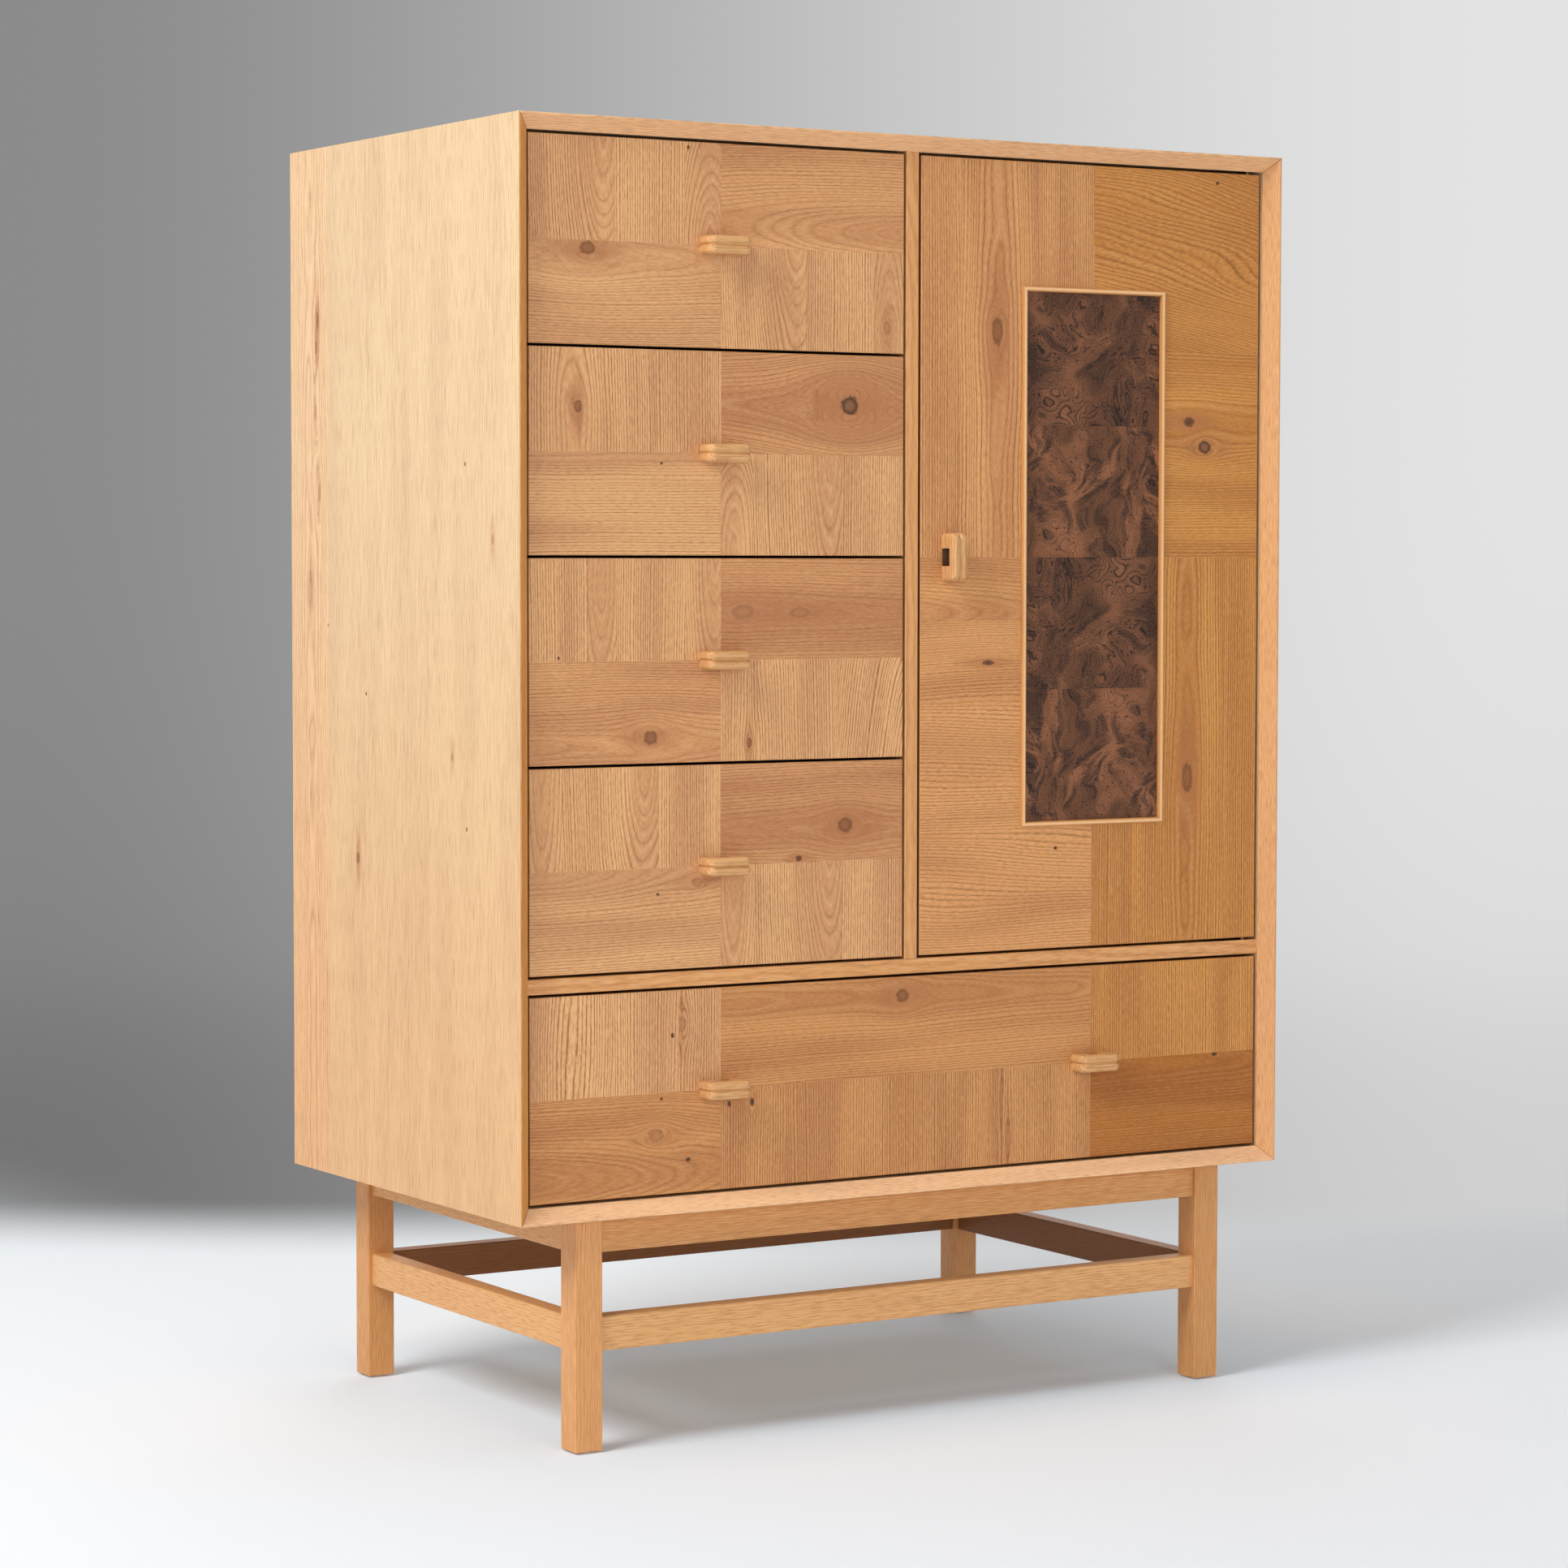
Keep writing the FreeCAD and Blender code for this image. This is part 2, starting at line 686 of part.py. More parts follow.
def door_parts(pull):
    pull_x = door_left + door_pull_inset
    seats = pull_screw_seats(pull_x, door_middle_z, True)
    pull_screws = [(seat, -axis_y, pull_screw_grip) for seat in seats]
    pull_holes = [screw_hole(*item) for item in pull_screws]
    pull_holes += [head_hole(seat, direction) for seat, direction, grip in pull_screws]
    recess_corners = inlay_rectangle(moulding_width)
    recess = box(
        recess_corners[0][0], recess_corners[2][0], face_y, face_y + recess_depth,
        recess_corners[0][1], recess_corners[2][1],
    )
    panel = box(door_left, door_right, face_y, front_back_y, door_under, door_top)
    panel = ease_face_edges(panel, face_y, edge_ease)
    leaf_pockets = [hinge_plate(door_top, -1), hinge_plate(door_under, 1)]
    strike_left = door_left + catch_from_free_edge
    return {
        "door_panel": [panel.cut([recess] + leaf_pockets + pull_holes)],
        "burl_inlay": burl_leaves(),
        "inlay_moulding": moulding_strips(),
        "door_pull": [place_pull(pull, pull_x, door_middle_z, True).cut(pull_holes)],
        "door_hinge_leaves": [door_leaf(door_top, -1), door_leaf(door_under, 1)],
        "door_strike": [
            box(
                strike_left, strike_left + catch_length, front_back_y, front_back_y + strike_thickness,
                door_top - strike_height, door_top,
            )
        ],
        "door_screws": [screw(*item) for item in pull_screws],
    }


def bay_parts():
    shelf_front = front_back_y + shelf_setback
    shelves = []
    for level in shelf_levels():
        board = box(
            half_partition + shelf_side_gap, inner_half - shelf_side_gap,
            shelf_front, back_inner - shelf_back_gap, level, level + shelf_thickness,
        )
        shelves.append(ease(board, lambda b: along(b, "x") and b.YMax < shelf_front + tolerance, edge_ease))
    catch_left = door_left + catch_from_free_edge
    catch_front = front_back_y + strike_thickness + catch_gap
    return {
        "adjustable_shelves": shelves,
        "shelf_pins": [shelf_pin(*seat) for seat in shelf_pin_seats()],
        "case_hinge_leaves": [case_leaf(bay_ceiling, -1), case_leaf(divider_top, 1)],
        "door_catch": [
            box(
                catch_left, catch_left + catch_length, catch_front, catch_front + catch_depth,
                bay_ceiling - catch_height, bay_ceiling,
            )
        ],
    }


def drawer_places():
    places = {}
    bay_middle = (inner_half + half_partition) / 2
    for index in range(small_drawer_count):
        front_top = bay_ceiling - reveal_gap - index * (small_front_height + reveal_gap)
        front_under = front_top - small_front_height
        name = "drawer_%d" % (index + 1)
        places[name] = (-inner_half, -half_partition, front_under, front_top, [-bay_middle])
    wide_under = bay_floor + reveal_gap
    wide_top = wide_under + wide_front_height
    places["wide_drawer"] = (-inner_half, inner_half, wide_under, wide_top, [-bay_middle, bay_middle])
    return places


def build():
    pull = make_pull()
    parts, cleat_holes = base_parts()
    parts.update(case_parts(cleat_holes))
    parts.update(bay_parts())
    parts.update(door_parts(pull))
    parts["case_slides"] = []
    for name, place in drawer_places().items():
        pieces = build_drawer(*place, pull)
        parts["case_slides"] += pieces.pop("case_slides")
        for kind, solids in pieces.items():
            parts[name + "_" + kind] = solids
    return parts


def save(parts):
    os.makedirs("parts", exist_ok=True)
    for name, solids in parts.items():
        shape = solids[0] if len(solids) == 1 else Part.makeCompound(solids)
        shape.exportStep("parts/" + name + ".step")
        print(name, "solids", len(shape.Solids), "volume", round(shape.Volume))


save(build())
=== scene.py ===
import bmesh
import bpy
import math
from mathutils import Matrix, Vector


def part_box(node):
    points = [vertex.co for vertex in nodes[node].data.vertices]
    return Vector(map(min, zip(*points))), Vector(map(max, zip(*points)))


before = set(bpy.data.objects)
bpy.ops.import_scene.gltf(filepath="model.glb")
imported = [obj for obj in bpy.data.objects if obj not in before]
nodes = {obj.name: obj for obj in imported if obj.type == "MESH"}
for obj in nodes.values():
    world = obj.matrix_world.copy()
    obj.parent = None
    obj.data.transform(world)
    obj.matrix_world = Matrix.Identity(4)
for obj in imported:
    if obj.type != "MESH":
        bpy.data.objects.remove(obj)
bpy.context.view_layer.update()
mm = 0.001
print("frame loaded:", len(nodes), "nodes")


# Shader maths: a Wire is one output socket, and sums on wires add Math nodes
class Wire:
    def __init__(self, bench, socket):
        self.bench = bench
        self.socket = socket

    def out(self, name):
        return Wire(self.bench, self.socket.node.outputs[name])

    def calc(self, operation, *others):
        return self.bench.maths(operation, self, *others)

    def __add__(self, other):
        return self.calc("ADD", other)

    def __sub__(self, other):
        return self.calc("SUBTRACT", other)

    def __mul__(self, other):
        return self.calc("MULTIPLY", other)

    def __truediv__(self, other):
        return self.calc("DIVIDE", other)

    def __rsub__(self, other):
        return self.bench.maths("SUBTRACT", other, self)

    def __gt__(self, other):
        return self.calc("GREATER_THAN", other)

    def __lt__(self, other):
        return self.calc("LESS_THAN", other)

    def atLeast(self, floor):  # lifts 0 to the floor, and leaves 1 as it is
        return self * (1.0 - floor) + floor


shine = 0.28  # specular level of every finish


class Bench:
    def __init__(self, name):
        self.material = bpy.data.materials.new(name)
        self.material.use_nodes = True
        self.tree = self.material.node_tree
        self.tree.nodes.clear()

    def node(self, kind, settings=None, sockets=None):
        made = self.tree.nodes.new(kind)
        for name, value in (settings or {}).items():
            setattr(made, name, value)
        for name, value in (sockets or {}).items():
            if isinstance(value, Wire):
                self.tree.links.new(value.socket, made.inputs[name])
            else:
                made.inputs[name].default_value = value
        return Wire(self, made.outputs[0]) if made.outputs else made

    def maths(self, operation, *values):
        return self.node("ShaderNodeMath", {"operation": operation}, dict(enumerate(values)))

    def step(self, value, low, high):  # smooth rise from 0 at low to 1 at high
        return self.node("ShaderNodeMapRange", {"interpolation_type": "SMOOTHSTEP"},
                         {"Value": value, "From Min": low, "From Max": high})

    def blend(self, amount, first, second, how="MIX"):
        return self.node("ShaderNodeMix", {"data_type": "RGBA", "blend_type": how},
                         {0: amount, 6: first, 7: second}).out(2)

    def choose(self, amount, first, second):  # the same for three numbers at once
        return self.node("ShaderNodeMix", {"data_type": "VECTOR"}, {0: amount, 4: first, 5: second}).out(1)

    def parts(self, vector):
        made = self.node("ShaderNodeSeparateXYZ", None, {0: vector})
        return made.out("X"), made.out("Y"), made.out("Z")

    def place(self):
        return self.parts(self.node("ShaderNodeTexCoord").out("Object"))

    def noise(self, a, b=0.0, c=0.0, detail=2.0, roughness=0.5):
        spot = self.node("ShaderNodeCombineXYZ", None, {0: a, 1: b, 2: c})
        return self.node("ShaderNodeTexNoise", {"noise_dimensions": "3D"},
                         {"Vector": spot, "Scale": 1.0, "Detail": detail, "Roughness": roughness})

    def finish(self, color, roughness, height=None, bump=0.0, distance=0.0, metallic=0.0):
        sockets = {"Base Color": color, "Roughness": roughness, "Metallic": metallic}
        sockets["Specular IOR Level"] = shine
        if height is not None:
            sockets["Normal"] = self.node("ShaderNodeBump", None,
                                          {"Strength": bump, "Distance": distance, "Height": height})
        shader = self.node("ShaderNodeBsdfPrincipled", None, sockets)
        self.node("ShaderNodeOutputMaterial", None, {"Surface": shader})
        return self.material


def tint(hexCode):  # a colour as seen on a screen, made linear for the shader
    parts = [int(hexCode[i:i + 2], 16) / 255 for i in (0, 2, 4)]
    return (*[p / 12.92 if p <= 0.04045 else ((p + 0.055) / 1.055) ** 2.4 for p in parts], 1.0)


slotOf = {name: piece.material_slots[0].material.name for name, piece in nodes.items()}


def dress(material, *names):
    for name in names:
        for slot in nodes[name].material_slots:
            slot.material = material


def dressSlot(material, slotName):
    dress(material, *[name for name in nodes if slotOf[name] == slotName])


# Oak: rows of pores along the growth rings, cut anywhere through the tree
oakTones = {
    "honey": "E5AC74",
    "rosy": "DB9F68",
    "rust": "CF925F",
    "tan": "E0A871",
    "wheat": "DC9C60",
    "toast": "D29357",
    "amber": "D38F43",
    "umber": "B56F27",
    "blonde": "E2C398",
    "cream": "F0BA86",
    "milk": "F8C494",
    "ochre": "DC9446",
    "gold": "E0A76B",
    "straw": "D6A169",
    "blush": "E7C094",
}
oakMarks = {
    "shade": "D6C4C5",  # the ground is multiplied by it in darker bands
    "pore": "7C4A27",
    "fleck": "9A5F33",
    "gleam": "FFDBAE",
    # painted shade of the inner faces under the case
    "paintedShade": "653617",
    "halo": "AD6E43",
}
poreDepth = 0.3 * mm
veneerFigure = {
    "ring": 2.9 * mm,  # one year's growth
    "spread": 18 * mm,  # the rings are wider near the heart
    "uneven": 0.7,  # how much the years differ in width
    "drift": 14 * mm,  # slow bend of the grain
    "waver": 1.6 * mm,  # small shake of the grain
    "tremble": 0.35 * mm,
    "swing": 12 * mm,  # how much the cut wanders in depth
    "lines": 1.0,
    "flecks": 0.28,
    "gleams": 0.4,
    "bands": 0.6,
    "fleckWidth": 1600.0,  # flecks in a metre, across the grain
    "fleckLength": 140.0,  # and along it
    "rough": 0.46,
    "bump": 0.3,
}
# Noises of the grain: how often in a metre, in two directions, then detail and step from the seed
grainNoise = {
    "drift": (7.0, 1.8, 1.0, 0.0),
    "waver": (60.0, 15.0, 1.0, 3.0),
    "tremble": (220.0, 70.0, 0.0, 4.0),
    "swing": (7.0, 12.0, 2.0, 5.0),
    "dash": (700.0, 120.0, 1.0, 9.0),
    "leafBand": (26.0, 2.6, 1.0, 13.0),
    "solidBand": (40.0, 2.6, 1.0, 13.0),
}
gritNoise = {"detail": 1.0, "seedStep": 11.0}
yearNoise = {"width": 0.37, "strength": 0.8, "along": 5.0}  # in a year, in a year and in a metre
# One year's ring, in shares of its width: the pores open, thin out and close, and pale late wood follows
ringShape = {"open": 0.1, "thin": (0.17, 0.42), "late": (0.45, 0.62), "lateEnd": (0.78, 1.0)}
leastInk = {"weakYear": 0.6, "dashGap": 0.45, "heart": 0.3, "heartPhase": 0.15}
inkSteps = {"strength": (0.2, 0.6), "dash": (0.34, 0.56), "fleck": (0.52, 0.66), "gleam": (0.02, 0.16)}
inkSteps.update(band=(0.34, 0.7))
gleamShares = {"grit": 0.7, "late": 0.6, "ground": 0.45}
pitDepths = {"rows": 0.7, "flecks": 0.3}


def grainWave(bench, name, first, second, seed):
    often, seldom, detail, seedStep = grainNoise[name]
    return bench.noise(first * often, second * seldom, seed + seedStep, detail=detail)


def bentGrain(bench, across, along, seed, spec):
    bent = across
    for name in ("drift", "waver", "tremble"):
        bent = bent + (grainWave(bench, name, across, along, seed) - 0.5) * spec[name]
    return bent


def poreRows(bench, first, second, fiber, along, seed, spec):
    far = (first * first + second * second).calc("SQRT")
    spread = spec["spread"]
    years = far * far / (far + spread) / spec["ring"]
    years = years + bench.noise(years * yearNoise["width"], seed, detail=0.0) * spec["uneven"] * 2.0
    tight = (far + spread * 2.0) * far / ((far + spread) * (far + spread))
    phase = years.calc("FRACT") / tight.atLeast(leastInk["heartPhase"])
    early = bench.step(phase, 0.0, ringShape["open"]) * (1.0 - bench.step(phase, *ringShape["thin"]))
    weather = bench.noise(years * yearNoise["strength"], seed, along * yearNoise["along"], detail=0.0)
    strength = bench.step(weather, *inkSteps["strength"])
    dash = bench.step(grainWave(bench, "dash", fiber, along, seed), *inkSteps["dash"])
    rows = early * strength.atLeast(leastInk["weakYear"]) * dash.atLeast(leastInk["dashGap"])
    rows = rows * tight.atLeast(leastInk["heart"])
    late = bench.step(phase, *ringShape["late"]) * (1.0 - bench.step(phase, *ringShape["lateEnd"]))
    late = late * strength
    fleckAcross, fleckAlong = fiber * spec["fleckWidth"], along * spec["fleckLength"]
    grit = bench.noise(fleckAcross, fleckAlong, seed + gritNoise["seedStep"], detail=gritNoise["detail"])
    fleck = bench.step(grit, *inkSteps["fleck"])
    gleam = bench.step(0.5 - grit, *inkSteps["gleam"]) * gleamShares["grit"] + late * gleamShares["late"]
    return rows, fleck, gleam


def poreHeight(rows, fleck):
    return 1.0 - rows * pitDepths["rows"] - fleck * pitDepths["flecks"]


def oakColor(bench, ground, rows, fleck, gleam, band, spec):
    shaded = bench.blend(spec["bands"], ground, tint(oakMarks["shade"]), "MULTIPLY")
    color = bench.blend(bench.step(band, *inkSteps["band"]), ground, shaded)
    glint = bench.blend(gleamShares["ground"], ground, tint(oakMarks["gleam"]))
    color = bench.blend(gleam * spec["gleams"], color, glint)
    color = bench.blend(fleck * spec["flecks"], color, tint(oakMarks["fleck"]))
    return bench.blend(rows * spec["lines"], color, tint(oakMarks["pore"]))


# Knots: the rows flow round each one, as a stream round a post
knotKinds = {
    "tight": {"middle": "8A5432", "rim": "714526", "halo": 0.62, "depth": 0.74},
    "dark": {"middle": "4E2F1C", "rim": "6B4228", "halo": 0.6, "depth": 0.85},
    "loose": {"middle": "7C563A", "rim": "452C1E", "halo": 0.5, "depth": 0.86},
    "faint": {"middle": "AE7647", "rim": "93603A", "halo": 0.4, "depth": 0.5},
    "pin": {"middle": "3B2417", "rim": "5A3A24", "halo": 0.1, "depth": 0.9},
}
# A knot's shape, in shares of its size
knotShape = {
    "dents": 260.0,  # in a metre
    "dentSeed": 90.0,
    "dentDepth": (0.7, 0.6),  # least, and what the noise adds
    "middle": (0.45, 0.9),
    "rimStart": (0.4, 0.8),
    "rimEnd": (0.9, 1.25),
    "halo": (0.6, 3.0),
    "haloTrail": 2.6,  # the halo is this much longer than the knot
    "faintest": 0.2,  # a weaker halo isn't painted
}
flow = {"trail": 1.5, "core": 0.3, "bendCore": 1.5}  # a bare bend is too gentle for the rows to close up


def knot(x, z, size, kind="pin", pull=0.0, stretch=1.3):
    return {"spot": (x * mm, z * mm), "size": size * mm, "kind": kind, "pull": pull * mm, "stretch": stretch}


def bend(x, z, pull, stretch):  # no knot shows, and the grain only swerves
    return knot(x, z, 0.0, "bend", pull, stretch)


def flowRound(du, dv, mask, spec):
    run = dv / (spec["stretch"] * flow["trail"])
    core = flow["bendCore"] if spec["kind"] == "bend" else flow["core"]
    reach = du * du + run * run + core * spec["pull"] ** 2
    return du * mask * (spec["pull"] ** 2) / reach


def paintKnot(bench, color, du, dv, mask, spec):
    kind = knotKinds[spec["kind"]]
    size = spec["size"]
    run = dv / spec["stretch"]
    dents = knotShape["dents"]
    ragged = bench.noise(du * dents, dv * dents, spec["spot"][0] * knotShape["dentSeed"], detail=1.0)
    least, more = knotShape["dentDepth"]
    far = (du * du + run * run).calc("SQRT") / size * (ragged * more + least)
    middle = (1.0 - bench.step(far, *knotShape["middle"])) * mask
    rim = bench.step(far, *knotShape["rimStart"]) * (1.0 - bench.step(far, *knotShape["rimEnd"])) * mask
    if kind["halo"] > knotShape["faintest"]:
        trail = dv / (spec["stretch"] * knotShape["haloTrail"])
        wide = (du * du + trail * trail).calc("SQRT") / size
        halo = (1.0 - bench.step(wide, *knotShape["halo"])) * mask
        color = bench.blend(halo * kind["halo"], color, tint(oakMarks["halo"]))
    color = bench.blend(middle * kind["depth"], color, tint(kind["middle"]))
    return bench.blend(rim * kind["depth"], color, tint(kind["rim"]))


# Sheets of veneer: leaves of oak, upright or level, each with its own growth rings
leafInk = {"upright": 0.86, "level": 0.56}  # how dark the rows are
leafHeart = {"quiet": (3 * mm, 24 * mm), "ink": 0.5, "band": (8 * mm, 26 * mm)}  # paler rows, darker ground


# A leaf's box is in shares of the sheet, pith and depth are in millimetres, and rise is the tree's taper
def leaf(box, grain, seed, tone, pith, depth, rise, heart=0.2):
    spec = {"box": box, "grain": grain, "seed": seed, "tone": tone, "ink": leafInk[grain]}
    spec.update({"pith": pith * mm, "depth": depth * mm, "rise": rise, "heart": heart})
    return spec


def veneerSheet(bench, across, up, size, leaves, knots, figure):
    width, height = size
    ground = tint(oakTones[leaves[0]["tone"]])
    corner = growth = cutting = (0.0, 0.0, 0.0)
    shift = 0.0
    marks = []
    for spec in leaves:
        a, b, c, d = spec["box"]
        x0, x1, z0, z1 = a * width, b * width, c * height, d * height
        mask = (across > x0) * (across < x1) * (up > z0) * (up < z1)
        upright = spec["grain"] == "upright"
        corner = bench.choose(mask, corner, (x0, z0, float(upright)))
        growth = bench.choose(mask, growth, (spec["pith"], spec["depth"], spec["rise"]))
        cutting = bench.choose(mask, cutting, (spec["seed"], spec["heart"], spec["ink"]))
        ground = bench.blend(mask, ground, tint(oakTones[spec["tone"]]))
        for mark in knots:
            kx, kz = mark["spot"]
            if x0 <= kx < x1 and z0 <= kz < z1:
                du, dv = (across - kx, up - kz) if upright else (up - kz, across - kx)
                marks.append((du, dv, mask, mark))
                if mark["pull"]:
                    shift = flowRound(du, dv, mask, mark) + shift
    x0, z0, upright = bench.parts(corner)
    pith, depth, rise = bench.parts(growth)
    seed, heart, ink = bench.parts(cutting)
    level = 1.0 - upright
    over = (across - x0) * upright + (up - z0) * level
    along = (across - x0) * level + (up - z0) * upright
    bent = bentGrain(bench, over, along, seed, figure) - shift - pith
    swing = grainWave(bench, "swing", along, over, seed) - 0.5
    cut = along * rise + depth + swing * figure["swing"]
    rows, fleck, gleam = poreRows(bench, bent, cut, bent, along, seed, figure)
    aside = bent.calc("ABSOLUTE")
    rows = rows * ink * bench.step(aside, *leafHeart["quiet"]).atLeast(leafHeart["ink"])
    gleam = gleam * ink
    band = grainWave(bench, "leafBand", bent, along, seed)
    band = band + (1.0 - bench.step(aside, *leafHeart["band"])) * heart
    color = oakColor(bench, ground, rows, fleck, gleam, band, figure)
    for du, dv, mask, mark in marks:
        if mark["kind"] != "bend":
            color = paintKnot(bench, color, du, dv, mask, mark)
    return color, poreHeight(rows, fleck)


# Solid oak: the same rings through a board or post, whose grain runs along one axis
solidFigure = dict(veneerFigure, ring=1.9 * mm, lines=0.22, flecks=0.26, gleams=0.32, bands=0.15)
solidFigure.update(fleckWidth=1700.0, fleckLength=55.0, rough=0.45)
solidTree = {"heart": (-46 * mm, 38 * mm), "sway": 8 * mm, "swayNoise": 2.4, "otherSeed": 40.0}
fiberLean = 0.45  # flecks run through the corner of a board, so that each face shows them
innerShadeSkin = {"depth": 2 * mm, "share": 0.75}


def solidGrain(bench, box, axis, seed, tone, figure, lean=fiberLean):
    spot = dict(zip("xyz", bench.place()))
    middle = dict(zip("xyz", (box[0] + box[1]) / 2))
    along = spot[axis]
    a, b = [spot[other] - middle[other] for other in "xyz" if other != axis]
    sway = (bench.noise(along * solidTree["swayNoise"], seed) - 0.5) * solidTree["sway"]
    first = bentGrain(bench, a, along, seed, figure) + sway - solidTree["heart"][0]
    second = bentGrain(bench, b, along, seed + solidTree["otherSeed"], figure) - solidTree["heart"][1]
    rows, fleck, gleam = poreRows(bench, first, second, a + b * lean, along, seed, figure)
    band = grainWave(bench, "solidBand", a + b, along, seed)
    color = oakColor(bench, tint(oakTones[tone]), rows, fleck, gleam, band, figure)
    return color, poreHeight(rows, fleck)


def solidOak(name, node, axis, seed, tone, shadedSide=None):
    bench = Bench(name)
    box = [Vector(corner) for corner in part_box(node)]
    color, height = solidGrain(bench, box, axis, seed, tone, solidFigure)
    if shadedSide:  # painted shade: the inner face, which sits in shade under the case, is painted darker
        spot = dict(zip("xyz", bench.place()))[shadedSide]
        skin = spot < getattr(box[0], shadedSide) + innerShadeSkin["depth"]
        color = bench.blend(skin * innerShadeSkin["share"], color, tint(oakMarks["paintedShade"]))
    dress(bench.finish(color, solidFigure["rough"], height, solidFigure["bump"], poreDepth), node)


# Painted shade: the finger notch behind the door's pull is painted dark, and so is the veneer under it, as
# the shade in the recess
notchShade = {"half": 9.8 * mm, "bar": 8.3 * mm, "tone": "35200F", "depth": 0.8}


def paintNotchShade(bench, color, x, z):
    low, high = [Vector(corner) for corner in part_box("door_pull")]
    middle = (low.z + high.z) / 2
    inside = ((z - middle).calc("ABSOLUTE") < notchShade["half"]) * (x > low.x) * (x < high.x)
    return bench.blend(inside * notchShade["depth"], color, tint(notchShade["tone"]))


# Drawer fronts and door
backTones = {"pale": "DDB486", "dark": "BE9160"}
# Painted shade: the fronts' edges are painted dark, as the gaps between the fronts are dark with shade
shadedEdgeTones = {"pale": "9C7148", "dark": "765233"}
frontSkin = {"face": (0.9 * mm, 1.1 * mm), "back": (0.7 * mm, 0.5 * mm)}  # how deep each face goes
# Noises on the edges and the back: how often in a metre, in two directions, and the seed
frontNoise = {"slices": (700.0, 24.0, 3.0), "streaks": (240.0, 5.0, 5.0), "fine": (900.0, 40.0, 6.0)}
streakShare = 0.6


def frontWave(bench, name, first, second):
    often, seldom, seed = frontNoise[name]
    return bench.noise(first * often, second * seldom, seed)


def checkerFront(name, leaves, knots):
    bench = Bench(name + "_veneer")
    x, y, z = bench.place()
    (left, face, low), (right, back, high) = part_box(name)
    size = (right - left, high - low)
    color, height = veneerSheet(bench, x - left, z - low, size, leaves, knots, veneerFigure)
    # painted shade on the veneer under the door pull's notch
    if name == "door_panel":
        color = paintNotchShade(bench, color, x, z)
    across, along = (x, z) if name == "door_panel" else (z, x)
    edge = bench.step(y, *[face + depth for depth in frontSkin["face"]])
    behind = bench.step(y, *[back - depth for depth in frontSkin["back"]])
    slices = frontWave(bench, "slices", y, x + z)
    plain = frontWave(bench, "streaks", across, along) * streakShare
    plain = plain + frontWave(bench, "fine", across, along) * (1.0 - streakShare)
    shadedEdgeColor = bench.blend(slices, tint(shadedEdgeTones["pale"]), tint(shadedEdgeTones["dark"]))
    backColor = bench.blend(plain, tint(backTones["pale"]), tint(backTones["dark"]))
    # painted shade on the edges, and the back face in its own tone
    color = bench.blend(edge, color, bench.blend(behind, shadedEdgeColor, backColor))
    dress(bench.finish(color, veneerFigure["rough"], height, veneerFigure["bump"], poreDepth), name)


